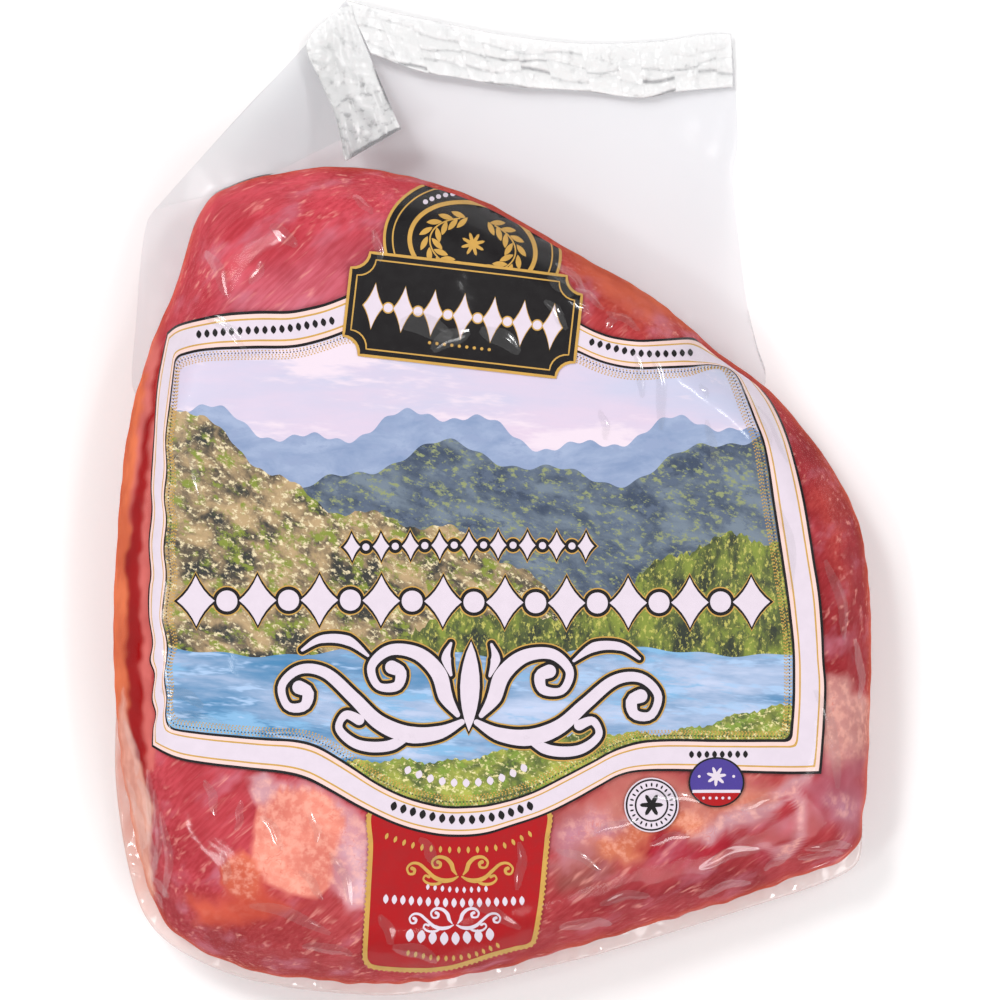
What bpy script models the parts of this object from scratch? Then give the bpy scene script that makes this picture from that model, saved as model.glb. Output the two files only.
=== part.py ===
"""Raw beef brisket sealed in a clear film bag, lying flat with its printed side up.

The bag is one thing: film drawn tight round the meat, a flat empty neck above it with a
heat seal across the end, one top corner of the neck folded down over the front, and a thin
seam along the lower edge. It is modelled as one closed solid of its outer shape.

Drawn in millimetres on the table top (+X right, +Y towards the seal, +Z up) and scaled to
metres at the end. The origin is on the table under the middle of the bag.
"""

import math

import bpy
import numpy as np

MM = 0.001
CURVE_STEPS = 24  # steps between two points of a smooth curve
SHARP_ANGLE = math.radians(40)

# Outline of the filled part, seen from above, clockwise from its upper end
FILLED_OUTLINE = (
    (-41, 89), (-25, 87), (-3, 80), (22, 66), (43, 54), (61, 39), (75, 28.5), (88.5, 12.5),
    (98, -4), (101.5, -20), (102.5, -40), (102, -63), (100.5, -84), (97, -96.5), (77, -105),
    (53, -113), (26, -121), (-1, -128.5), (-28, -132), (-48, -131), (-65, -128.5),
    (-78, -123.5), (-87, -117), (-93, -106), (-97, -90), (-100.5, -72), (-102.5, -45),
    (-102, -15), (-98.5, 18), (-93, 39), (-86, 56), (-79, 77), (-70, 84), (-54, 88),
)
MIDDLE = (-2.0, -22.0)
SEAM_PLANE = 18.0  # height at which front and back film meet round the meat

# Thickness of the meat: a slab with a low crown, thinner to the right
SLAB_TOP = 44.0
CROWN = 3.5
CROWN_RADIUS = 110.0
THIN_TO_RIGHT = 0.03  # mm of fall for each mm to the right
# Swellings and hollows of the upper face: x, y, height, radius
SWELLINGS = (
    (-48, 60, 3.0, 34), (-52, -92, 2.6, 24), (-84, -55, -3.0, 22), (62, -88, -3.0, 34),
    (92, -10, -2.5, 30), (10, -20, -1.0, 45), (20, -112, 1.5, 22),
)
TOP_SHOULDER = 0.83  # share of the radius where the upper edge starts to round over
FOOT_SHOULDER = 0.76  # and where the lower edge does
SHOULDER_RINGS = 6
FLAT_RINGS = 9
TURN_STEPS = 1440  # steps of a full turn at which the outline's radius is kept
CREST_SPREAD = 72  # steps to each side over which the crest's corners are softened

# The empty neck of the bag: its left edge, fold line, upper edge and right edge
NECK_LEFT = ((-93, 24), (-97.3, 30), (-96.3, 47.4), (-95.2, 63.6), (-93.6, 73.8), (-91.4, 77.4))
FOLD_END = (-39.8, 134.6)
NECK_TOP = (
    FOLD_END, (-26.3, 131.1), (-14.2, 128.7), (2.0, 125.4), (22.8, 123), (43.6, 123.5),
    (57.4, 125.4), (64.9, 125.6),
)
NECK_RIGHT = (
    (68, 24), (73.6, 30.1), (71.4, 39.3), (68.7, 52.8), (66.8, 69), (65.2, 86.3), (66.6, 96),
    (66.0, 111.1), (64.9, 125.6),
)
NECK_THICKNESS = 1.0
NECK_LOW = 0.5  # height of the neck's middle where it lies on the table
NECK_FALL = 24.0  # distance over which it comes down from the meat
NECK_FALL_SHAPE = 1.6
NECK_RIPPLE = 1.3  # height of the ripples in the neck
RIPPLE_ACROSS = 7.5  # and their sizes across and along it
RIPPLE_ALONG = 21.0
RIPPLE_START = 18.0  # distance from the meat at which they have their full height
NECK_ROWS, NECK_COLUMNS = 13, 27
NECK_ROW_CLOSENESS = 1.3  # over 1, the rows stand closer together near the meat
NECK_TUCK = 0.93  # the neck starts inside the meat's outline, at this share of it
FOLD_SHARE = 0.42  # share of the neck's cells along the far side that lie on the fold line

# Heat seal across the neck, and its end on the folded corner
SEAL_INNER = (
    (-33.1, 120), (-19.8, 115.2), (-9.6, 113.5), (5, 111.1), (23.1, 110), (39.8, 108.1),
    (50.6, 109.8), (65.4, 111.1),
)
SEAL_THICKNESS = 1.7
SEAL_RAISE = 0.35  # its middle lies this much over the neck's
SEAL_RIBS = 3
SEAL_RIB_HEIGHT = 0.45
SEAL_CREASES = 11
SEAL_ROWS, SEAL_COLUMNS = 7, 46
STRIP_LEFT = ((-50.5, 123), (-46.5, 112), (-42.5, 102.7), (-39.8, 90))
STRIP_RIGHT = ((-37.5, 130), (-33.6, 120), (-28.2, 106.9), (-24.7, 98.9))
STRIP_THICKNESS = 1.3
STRIP_RAISE = 0.9
STRIP_CURL = 6.0  # how far its free end curls up
STRIP_BUCKLE = 0.6
STRIP_ROWS, STRIP_COLUMNS = 14, 6
FLAP_THICKNESS = 1.2
FLAP_RISE = 1.6  # it stands thicker than that where it runs under the strip
FLAP_CELLS = 9
FLAP_CORNERS = ((-91.4, 77.4), (-44, 130), (-39.8, 91), (-62, 84.5))

# Outer edge of the seam round the lower side, from the left side to the right
SEAM_EDGE = (
    (-101.8, -58), (-102.0, -74), (-100.8, -87.6), (-98.4, -101.1), (-94.9, -111.9),
    (-89.8, -118.9), (-81.7, -124.6), (-68.2, -130.3), (-52, -133.5), (-29, -135.1),
    (-14.2, -133.8), (-0.7, -131.4), (12.8, -127.8), (29, -123.9), (48.7, -118.1),
    (70.1, -111.1), (89.2, -104.9), (98.6, -99.5), (100, -90),
)
SEAM_THICKNESS = 1.2
SEAM_HEIGHT = 14.0
SEAM_ROOT = 0.93  # how far the seam reaches in, as a share of its outer edge
SEAM_WAVE = 1.4
SEAM_WAVES = 5
SEAM_ROWS, SEAM_COLUMNS = 3, 56

MEAT_COLOUR = (0.42, 0.055, 0.06, 1.0)
FILM_COLOUR = (0.84, 0.83, 0.84, 1.0)


def clear_scene():
    for obj in list(bpy.data.objects):
        bpy.data.objects.remove(obj, do_unlink=True)


def material(name, colour, roughness, alpha=1.0):
    made = bpy.data.materials.new(name)
    made.use_nodes = True
    shader = made.node_tree.nodes["Principled BSDF"]
    shader.inputs["Base Color"].default_value = colour
    shader.inputs["Roughness"].default_value = roughness
    shader.inputs["Alpha"].default_value = alpha
    made.diffuse_color = colour
    return made


def even(count):
    return np.linspace(0, 1, count)


def smooth_curve(points, shares, closed=False):
    """Points at the given shares of the length of a smooth curve through the given points."""
    p = np.array(points, float)
    n = len(p)
    spans = n if closed else n - 1
    t = np.linspace(0, 1, CURVE_STEPS, endpoint=False)[:, None]
    runs = []
    for i in range(spans):
        if closed:
            a, b, c, d = (p[(i + k) % n] for k in (-1, 0, 1, 2))
        else:
            a, b, c, d = (p[min(max(i + k, 0), n - 1)] for k in (-1, 0, 1, 2))
        runs.append(
            0.5 * (2 * b + (c - a) * t + (2 * a - 5 * b + 4 * c - d) * t**2
                   + (3 * b - a - 3 * c + d) * t**3)
        )
    dense = np.vstack(runs + [p[:1] if closed else p[-1:]])
    along = np.concatenate([[0], np.cumsum(np.linalg.norm(np.diff(dense, axis=0), axis=1))])
    at = np.asarray(shares) * along[-1]
    return np.column_stack([np.interp(at, along, dense[:, k]) for k in (0, 1)])


def radius_table():
    """Distance of the filled part's outline from MIDDLE, in each of the directions ANGLES."""
    offset = smooth_curve(FILLED_OUTLINE, even(TURN_STEPS)[:-1], closed=True) - MIDDLE
    angle = np.arctan2(offset[:, 1], offset[:, 0])
    return np.interp(ANGLES, angle, np.hypot(offset[:, 0], offset[:, 1]), period=2 * math.pi)


def softened(radii):
    """The same distances, each averaged with its neighbours, which rounds off the corners."""
    weights = np.hanning(2 * CREST_SPREAD + 1) / CREST_SPREAD
    return np.convolve(np.tile(radii, 3), weights, "same")[TURN_STEPS:2 * TURN_STEPS]


ANGLES = np.linspace(-math.pi, math.pi, TURN_STEPS, endpoint=False)
RADII = radius_table()
CREST_RADII = softened(RADII)


def outline_radius(angle):
    return np.interp(angle, ANGLES, RADII, period=2 * math.pi)


def ring_radius(angle, reach):
    """The outline's radius for a ring at this share of it. Inner rings have softer corners."""
    soft = np.interp(angle, ANGLES, CREST_RADII, period=2 * math.pi)
    return soft + (outline_radius(angle) - soft) * reach**3


def slab_top(x, y):
    """Height of the meat's upper face, before its edge rounds over."""
    away = np.hypot(x - MIDDLE[0], y - MIDDLE[1]) / CROWN_RADIUS
    top = SLAB_TOP + CROWN * (1 - away**2) - THIN_TO_RIGHT * x
    for centre_x, centre_y, height, radius in SWELLINGS:
        top = top + height * np.exp(-((x - centre_x) ** 2 + (y - centre_y) ** 2) / radius**2)
    return top


def smooth_step(t):
    t = np.clip(t, 0, 1)
    return t * t * (3 - 2 * t)


def neck_height(x, y):
    """Height of the middle of the neck's film: from the meat's side down to the table."""
    angle = np.arctan2(y - MIDDLE[1], x - MIDDLE[0])
    away = np.hypot(x - MIDDLE[0], y - MIDDLE[1]) - outline_radius(angle)
    away = np.maximum(away, 0)
    fall = np.exp(-((away / NECK_FALL) ** NECK_FALL_SHAPE))
    across = np.sin(x / RIPPLE_ACROSS + np.sin(y / RIPPLE_ALONG))
    along = np.cos(y / RIPPLE_ALONG - x / RIPPLE_ALONG / 2)
    ripple = (0.5 + 0.5 * across * along) * smooth_step(away / RIPPLE_START)
    return NECK_LOW + (SEAM_PLANE - NECK_LOW) * fall + NECK_RIPPLE * ripple


def disc_grid(half):
    """Cells of a square grid bent into a disc: ring number and angle of each point."""
    steps = np.arange(-half, half + 1)
    u, v = np.meshgrid(steps, steps, indexing="ij")
    ring = np.maximum(abs(u), abs(v))
    safe = np.maximum(ring, 1)
    side = np.where(abs(u) >= abs(v), v * np.sign(np.where(u == 0, 1, u)), 0) / safe
    other = np.where(abs(u) < abs(v), u * np.sign(np.where(v == 0, 1, v)), 0) / safe
    angle = np.where(
        abs(u) >= abs(v),
        side * math.pi / 4 + np.where(u < 0, math.pi, 0),
        math.pi / 2 - other * math.pi / 4 + np.where(v < 0, math.pi, 0),
    )
    return ring, angle


def shoulder(ring, start):
    """Share of the radius, and of the height, that a ring of the slab lies at."""
    flat = np.minimum(ring / FLAT_RINGS, 1) * start
    turn = np.clip((ring - FLAT_RINGS) / SHOULDER_RINGS, 0, 1) * math.pi / 2
    return flat + (1 - start) * np.sin(turn), np.cos(turn)


def split(verts, quad):
    """Two triangles for a bent four-sided cell, cut along its shorter diagonal."""
    a, b, c, d = (int(k) for k in quad)
    if np.linalg.norm(verts[a] - verts[c]) <= np.linalg.norm(verts[b] - verts[d]):
        return [(a, b, c), (a, c, d)]
    return [(a, b, d), (b, c, d)]


def new_object(name, verts, quads, made):
    faces = [triangle for quad in quads for triangle in split(verts, quad)]
    mesh = bpy.data.meshes.new(name)
    mesh.from_pydata([tuple(v * MM) for v in verts], [], faces)
    mesh.materials.append(made)
    mesh.update()
    obj = bpy.data.objects.new(name, mesh)
    bpy.context.collection.objects.link(obj)
    return obj


def filled_part(name, meat):
    """The meat with the film drawn tight over it: an upper and a lower disc grid, joined."""
    half = FLAT_RINGS + SHOULDER_RINGS
    side = 2 * half + 1
    ring, angle = disc_grid(half)

    def layer(start):
        reach, height = shoulder(ring, start)
        radius = ring_radius(angle, reach)
        x = MIDDLE[0] + reach * radius * np.cos(angle)
        y = MIDDLE[1] + reach * radius * np.sin(angle)
        return x, y, height

    x, y, height = layer(TOP_SHOULDER)
    upper = SEAM_PLANE + height * (slab_top(x, y) - SEAM_PLANE)
    verts = list(np.column_stack([x.ravel(), y.ravel(), upper.ravel()]))
    x, y, height = layer(FOOT_SHOULDER)
    lower = SEAM_PLANE * (1 - height)
    index = np.arange(side * side).reshape(side, side)
    below = index.copy()
    for i in range(1, side - 1):
        for j in range(1, side - 1):
            below[i, j] = len(verts)
            verts.append(np.array([x[i, j], y[i, j], lower[i, j]]))
    quads = []
    for i in range(side - 1):
        for j in range(side - 1):
            corners = ((i, j), (i + 1, j), (i + 1, j + 1), (i, j + 1))
            quads.append([index[c] for c in corners])
            quads.append([below[c] for c in reversed(corners)])
    return new_object(name, verts, quads, meat)


def sheet_solid(name, plan, height, thickness, film):
    """A closed thin sheet. plan holds the points of a grid, and height its middle surface."""
    rows, columns = height.shape
    verts = [
        np.array([*point, z])
        for z_values in (height + thickness / 2, height - thickness / 2)
        for point, z in zip(plan.reshape(-1, 2), z_values.ravel())
    ]
    under = rows * columns
    index = np.arange(under).reshape(rows, columns)
    quads = []
    for i in range(rows - 1):
        for j in range(columns - 1):
            cell = [index[i, j], index[i, j + 1], index[i + 1, j + 1], index[i + 1, j]]
            quads.append(cell)
            quads.append([k + under for k in reversed(cell)])
    rim = [*index[0, :-1], *index[:-1, -1], *index[-1, :0:-1], *index[:0:-1, 0]]
    for k, a in enumerate(rim):
        b = rim[(k + 1) % len(rim)]
        quads.append([b, a, a + under, b + under])
    return new_object(name, verts, quads, film)


def between(first, last, rows):
    """A grid of points from one curve to another of as many points."""
    share = even(rows)[:, None, None]
    return first[None] * (1 - share) + last[None] * share


def neck_plan(rows=NECK_ROWS, columns=NECK_COLUMNS):
    """Points of the neck seen from above: from inside the meat's outline to its far edge."""
    on_fold = round(columns * FOLD_SHARE)
    fold = np.linspace(NECK_LEFT[-1], FOLD_END, on_fold, endpoint=False)
    far = np.vstack([fold, smooth_curve(NECK_TOP, even(columns - on_fold))])
    starts = [np.subtract(p, MIDDLE) for p in (NECK_LEFT[0], NECK_RIGHT[0])]
    first, last = (math.atan2(y, x) for x, y in starts)
    angle = np.linspace(first, last, columns)
    radius = outline_radius(angle) * NECK_TUCK
    near = np.column_stack([MIDDLE[0] + radius * np.cos(angle), MIDDLE[1] + radius * np.sin(angle)])
    shares = even(rows) ** NECK_ROW_CLOSENESS
    left, right = smooth_curve(NECK_LEFT, shares), smooth_curve(NECK_RIGHT, shares)
    near[0], near[-1] = left[0], right[0]
    s, t = shares[:, None, None], even(columns)[None, :, None]
    across = left[:, None] * (1 - t) + right[:, None] * t
    along = near[None] * (1 - s) + far[None] * s
    corners = (
        near[0] * (1 - s) * (1 - t) + near[-1] * (1 - s) * t + far[0] * s * (1 - t) + far[-1] * s * t
    )
    return across + along - corners


def neck(film):
    plan = neck_plan()
    height = neck_height(plan[..., 0], plan[..., 1])
    return sheet_solid("neck", plan, height, NECK_THICKNESS, film)


def seal_relief(across, along):
    """Ribs along the seal, broken up by creases across it."""
    ribs = 0.5 + 0.5 * np.cos(2 * math.pi * across * SEAL_RIBS)
    creases = np.sin(math.pi * along * SEAL_CREASES) ** 2
    return SEAL_RIB_HEIGHT * ribs * (0.5 + 0.5 * creases)


def seal(film):
    outer = smooth_curve(NECK_TOP, even(SEAL_COLUMNS))
    inner = smooth_curve(SEAL_INNER, even(SEAL_COLUMNS))
    plan = between(inner, outer, SEAL_ROWS)
    relief = seal_relief(even(SEAL_ROWS)[:, None], even(SEAL_COLUMNS)[None, :])
    height = neck_height(plan[..., 0], plan[..., 1]) + SEAL_RAISE + relief
    return sheet_solid("seal", plan, height, SEAL_THICKNESS, film)


def folded_strip(film):
    """The seal's end, folded down over the neck. Its free end curls up off it."""
    left = smooth_curve(STRIP_LEFT, even(STRIP_ROWS))
    right = smooth_curve(STRIP_RIGHT, even(STRIP_ROWS))
    plan = between(left, right, STRIP_COLUMNS).transpose(1, 0, 2)
    along, across = even(STRIP_ROWS)[:, None], even(STRIP_COLUMNS)[None, :]
    curl = STRIP_CURL * along**2 * (1 + 2 * across) / 3
    buckle = STRIP_BUCKLE * along * np.sin(3 * math.pi * along + math.pi * across)
    height = neck_height(plan[..., 0], plan[..., 1]) + STRIP_RAISE + curl + buckle
    return sheet_solid("folded_strip", plan[:, ::-1], height[:, ::-1], STRIP_THICKNESS, film)


def flap(film):
    """The corner of the neck, folded over: a second layer of film beside the strip."""
    start, fold_end, strip_end, free = (np.array(c) for c in FLAP_CORNERS)
    s, t = even(FLAP_CELLS)[:, None, None], even(FLAP_CELLS)[None, :, None]
    plan = (start * (1 - s) + fold_end * s) * (1 - t) + (free * (1 - s) + strip_end * s) * t
    thickness = FLAP_THICKNESS + FLAP_RISE * (t * s)[..., 0]
    height = neck_height(plan[..., 0], plan[..., 1]) + thickness / 2
    return sheet_solid("flap", plan, height, thickness, film)


def lower_seam(film):
    outer = smooth_curve(SEAM_EDGE, even(SEAM_COLUMNS))
    inner = MIDDLE + (outer - MIDDLE) * SEAM_ROOT
    plan = between(outer, inner, SEAM_ROWS)
    along, inward = even(SEAM_COLUMNS)[None, :], even(SEAM_ROWS)[:, None]
    wave = SEAM_WAVE * np.sin(2 * math.pi * SEAM_WAVES * along) * (1 - inward)
    return sheet_solid("lower_seam", plan, SEAM_HEIGHT + wave, SEAM_THICKNESS, film)


def join(base, pieces):
    """One solid out of the overlapping pieces, by one Boolean union."""
    group = bpy.data.collections.new("film_pieces")
    for piece in pieces:
        group.objects.link(piece)
    union = base.modifiers.new("join", "BOOLEAN")
    union.operation = "UNION"
    union.operand_type = "COLLECTION"
    union.collection = group
    union.solver = "EXACT"
    union.material_mode = "TRANSFER"
    graph = bpy.context.evaluated_depsgraph_get()
    joined = bpy.data.meshes.new_from_object(base.evaluated_get(graph))
    base.modifiers.remove(union)
    base.data = joined
    for piece in pieces:
        bpy.data.objects.remove(piece, do_unlink=True)
    bpy.data.collections.remove(group)
    base.data.shade_smooth()
    base.data.set_sharp_from_angle(angle=SHARP_ANGLE)
    return base


def main():
    clear_scene()
    meat = material("meat under film", MEAT_COLOUR, 0.25)
    film = material("clear film", FILM_COLOUR, 0.15, alpha=0.5)
    bag = filled_part("brisket_bag", meat)
    join(bag, [neck(film), seal(film), folded_strip(film), flap(film), lower_seam(film)])


main()
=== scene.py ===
"""A raw brisket in its sealed bag of clear film, printed side up.

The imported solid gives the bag's outer form. Here it becomes what the real one is: the cut of
meat, the clear film drawn tight over it, the inks printed on the film, and the empty neck of
the bag with its heat seal. Lengths are millimetres until a mesh is made from them.
"""

import math

import bpy
import numpy as np
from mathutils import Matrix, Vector
from mathutils.bvhtree import BVHTree
from mathutils.geometry import delaunay_2d_cdt


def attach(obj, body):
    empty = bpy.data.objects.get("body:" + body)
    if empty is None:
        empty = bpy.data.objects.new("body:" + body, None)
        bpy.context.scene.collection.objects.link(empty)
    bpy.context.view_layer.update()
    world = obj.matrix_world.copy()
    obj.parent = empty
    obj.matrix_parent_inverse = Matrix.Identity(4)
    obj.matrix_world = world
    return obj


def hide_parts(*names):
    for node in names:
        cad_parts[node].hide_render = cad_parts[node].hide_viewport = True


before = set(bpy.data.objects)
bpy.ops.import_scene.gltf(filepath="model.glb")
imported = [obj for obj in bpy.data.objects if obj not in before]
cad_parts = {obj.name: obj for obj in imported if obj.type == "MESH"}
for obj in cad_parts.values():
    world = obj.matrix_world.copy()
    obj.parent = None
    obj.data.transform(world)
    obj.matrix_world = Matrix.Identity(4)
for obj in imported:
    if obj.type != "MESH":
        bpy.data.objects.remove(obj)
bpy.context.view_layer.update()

MM = 0.001
TURN = 2 * math.pi

# Photograph to bag: the line of sight through a pixel, for an eye high over the bag
PIXEL = 0.27  # mm for each pixel at the height of the widest outline
EYE = (2.0, -1.2, 2400.0)
PHOTO_MIDDLE = 500.0
OUTLINE_HEIGHT = 18.0
PRINT_HEIGHT = 46.0

# The filled part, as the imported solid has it
FILLED_OUTLINE = (
    (-41, 89), (-25, 87), (-3, 80), (22, 66), (43, 54), (61, 39), (75, 28.5), (88.5, 12.5),
    (98, -4), (101.5, -20), (102.5, -40), (102, -63), (100.5, -84), (97, -96.5), (77, -105),
    (53, -113), (26, -121), (-1, -128.5), (-28, -132), (-48, -131), (-65, -128.5),
    (-78, -123.5), (-87, -117), (-93, -106), (-97, -90), (-100.5, -72), (-102.5, -45),
    (-102, -15), (-98.5, 18), (-93, 39), (-86, 56), (-79, 77), (-70, 84), (-54, 88),
)
MIDDLE = (-2.0, -22.0)
SEAM_PLANE = OUTLINE_HEIGHT
SLAB_TOP = 44.0
CROWN, CROWN_RADIUS = 3.5, 110.0
THIN_TO_RIGHT = 0.03
SWELLINGS = (
    (-48, 60, 3.0, 34), (-52, -92, 2.6, 24), (-84, -55, -3.0, 22), (62, -88, -3.0, 34),
    (92, -10, -2.5, 30), (10, -20, -1.0, 45), (20, -112, 1.5, 22),
)
TOP_SHOULDER, FOOT_SHOULDER = 0.83, 0.76
SHOULDER_RINGS, FLAT_RINGS = 6, 9
TURN_STEPS, CREST_SPREAD = 1440, 72
DETAIL = 7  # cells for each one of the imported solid
MEAT_INSET, RIM_INSET = 1.15, 0.3  # depth of the meat under the film, on top and at the rim
PRINT_DEPTH = 0.6  # the inks lie this far under the film's outer face
LAYER = 0.06  # and each ink this much over the one that it is printed on
MOTIF_CELL, FIELD_CELL = 2.2, 1.8  # side of the triangles of a motif and of a field of ink
WHITE_RIM, CONTOUR = 0.9, 0.35  # black round the white motifs, and gold round that
WRAP_LIMIT = 0.985  # print that would run past the outline ends at this share of it

# The empty neck
NECK_LEFT = ((-93, 24), (-97.3, 30), (-96.3, 47.4), (-95.2, 63.6), (-93.6, 73.8), (-91.4, 77.4))
FOLD_END = (-39.8, 134.6)
NECK_TOP = (
    FOLD_END, (-26.3, 131.1), (-14.2, 128.7), (2.0, 125.4), (22.8, 123), (43.6, 123.5),
    (57.4, 125.4), (64.9, 125.6),
)
NECK_RIGHT = (
    (68, 24), (73.6, 30.1), (71.4, 39.3), (68.7, 52.8), (66.8, 69), (65.2, 86.3), (66.6, 96),
    (66.0, 111.1), (64.9, 125.6),
)
SEAL_INNER = (
    (-33.1, 120), (-19.8, 115.2), (-9.6, 113.5), (5, 111.1), (23.1, 110), (39.8, 108.1),
    (50.6, 109.8), (65.4, 111.1),
)
STRIP_LEFT = ((-41.5, 132.6), (-50.5, 123), (-46.5, 112), (-42.5, 102.7), (-39.8, 90))
STRIP_RIGHT = ((-38.2, 133.2), (-37.5, 130), (-33.6, 120), (-28.2, 106.9), (-24.7, 98.9))
FLAP_SHOWN = 0.86  # share of the folded corner that ends short of the meat
FLAP_CORNERS = ((-91.4, 77.4), (-44, 130), (-39.8, 91), (-62, 84.5))
NECK_LOW, NECK_FALL, NECK_FALL_SHAPE = 0.5, 24.0, 1.6
NECK_RIPPLE, RIPPLE_ACROSS, RIPPLE_ALONG, RIPPLE_START = 1.3, 7.5, 21.0, 18.0
NECK_TUCK, FOLD_SHARE = 0.93, 0.42
FILM_SHEET = 0.4  # thickness of the film where it stands as a sheet
SEAM_EDGE = (
    (-101.8, -58), (-102.0, -74), (-100.8, -87.6), (-98.4, -101.1), (-94.9, -111.9),
    (-89.8, -118.9), (-81.7, -124.6), (-68.2, -130.3), (-52, -133.5), (-29, -135.1),
    (-14.2, -133.8), (-0.7, -131.4), (12.8, -127.8), (29, -123.9), (48.7, -118.1),
    (70.1, -111.1), (89.2, -104.9), (98.6, -99.5), (100, -90),
)
SEAM_HEIGHT, SEAM_ROOT, SEAM_WAVE, SEAM_WAVES = 14.0, 0.93, 1.4, 5

# Fine folds in the tight film, from the photograph: two ends in pixels, width, height in mm
FOLDS = (
    ((205, 316), (247, 351), 1.1, 0.4), ((214, 316), (242, 338), 0.8, 0.3),
    ((188, 455), (199, 500), 1.2, 0.4), ((576, 288), (604, 310), 1.0, 0.5),
    ((556, 262), (586, 292), 1.0, 0.4), ((545, 300), (566, 330), 1.4, 0.5),
    ((634, 352), (641, 398), 1.2, 0.35), ((652, 352), (660, 430), 1.4, 0.4),
    ((697, 350), (702, 372), 0.9, 0.3), ((700, 384), (708, 398), 0.8, 0.35),
    ((574, 300), (590, 312), 1.0, 0.5), ((606, 328), (616, 318), 1.2, 0.5),
    ((742, 386), (772, 446), 0.9, 0.3), ((752, 396), (788, 462), 1.2, 0.4),
    ((160, 690), (204, 706), 1.6, 0.45), ((168, 716), (230, 728), 1.3, 0.4),
    ((146, 770), (143, 850), 1.2, 0.5), ((153, 790), (150, 880), 1.0, 0.45),
    ((160, 812), (163, 900), 1.2, 0.4), ((330, 852), (352, 905), 1.3, 0.35),
    ((392, 948), (438, 962), 2.0, 0.6), ((380, 915), (392, 945), 1.6, 0.5),
    ((648, 798), (700, 802), 1.4, 0.5), ((470, 905), (520, 930), 1.5, 0.35),
    ((556, 850), (600, 870), 1.2, 0.35), ((806, 852), (858, 850), 1.3, 0.6),
    ((800, 862), (852, 858), 1.0, 0.5), ((812, 876), (848, 866), 0.9, 0.4),
    ((606, 312), (640, 330), 1.1, 0.35), ((700, 870), (760, 850), 1.6, 0.4),
    ((250, 905), (330, 935), 1.6, 0.4), ((826, 560), (846, 640), 1.5, 0.35),
    ((816, 690), (838, 790), 1.6, 0.4), ((205, 250), (226, 296), 1.6, 0.35),
    ((270, 226), (296, 248), 1.8, 0.5), ((262, 262), (250, 284), 1.4, 0.4),
    ((352, 196), (372, 214), 1.2, 0.4), ((372, 230), (380, 262), 1.2, 0.35),
    ((205, 780), (215, 815), 1.3, 0.4), ((240, 800), (236, 830), 1.1, 0.35),
    ((262, 815), (282, 850), 1.4, 0.4), ((310, 812), (318, 842), 1.2, 0.4),
    ((300, 870), (322, 900), 1.2, 0.35), ((222, 850), (226, 884), 1.2, 0.35),
    ((590, 836), (640, 822), 1.3, 0.35), ((650, 846), (690, 836), 1.2, 0.35),
    ((742, 812), (770, 800), 1.2, 0.35), ((600, 905), (650, 896), 1.4, 0.4),
    ((700, 900), (752, 884), 1.2, 0.4), ((766, 872), (792, 858), 1.1, 0.4),
    ((560, 930), (612, 926), 1.6, 0.4), ((302, 948), (352, 956), 1.5, 0.4),
    ((480, 330), (520, 352), 2.4, 0.6), ((400, 322), (452, 338), 3.0, 0.7),
    ((432, 350), (470, 332), 2.4, 0.5), ((548, 276), (572, 296), 2.0, 0.6),
    ((600, 410), (606, 440), 1.1, 0.3), ((706, 420), (713, 470), 1.2, 0.3),
    ((776, 500), (792, 590), 1.3, 0.35), ((420, 838), (436, 868), 1.6, 0.4),
    ((520, 842), (516, 890), 1.4, 0.4), ((856, 640), (862, 700), 1.1, 0.35),
    ((121, 722), (136, 776), 1.1, 0.45), ((137, 780), (148, 826), 1.2, 0.5),
    ((148, 832), (146, 896), 1.2, 0.5), ((130, 800), (138, 860), 1.3, 0.45),
    ((124, 780), (128, 830), 1.2, 0.4), ((148, 892), (160, 912), 1.0, 0.5),
    ((150, 880), (166, 900), 1.0, 0.5),
)
FOLD_LIFT = 0.5  # share of those heights: flanks as flat as this mirror the studio's lights
# Broad swells where the film bridges the uneven meat: middle in pixels, radius, height in mm
BRIDGES = (
    ((440, 322), 9, 0.9), ((505, 338), 7, 0.7), ((566, 292), 6, 0.7), ((430, 962), 8, 0.8),
    ((388, 930), 6, 0.6), ((676, 802), 7, 0.7), ((285, 236), 9, 0.8), ((250, 330), 8, 0.5),
    ((650, 385), 9, 0.5), ((190, 705), 8, 0.6), ((150, 850), 7, 0.7), ((300, 830), 8, 0.7),
    ((250, 862), 7, 0.6), ((340, 880), 7, 0.6), ((620, 850), 9, 0.6), ((760, 800), 8, 0.6),
    ((820, 720), 9, 0.6), ((835, 845), 7, 0.6), ((720, 880), 8, 0.5), ((590, 880), 9, 0.5),
)

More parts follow.
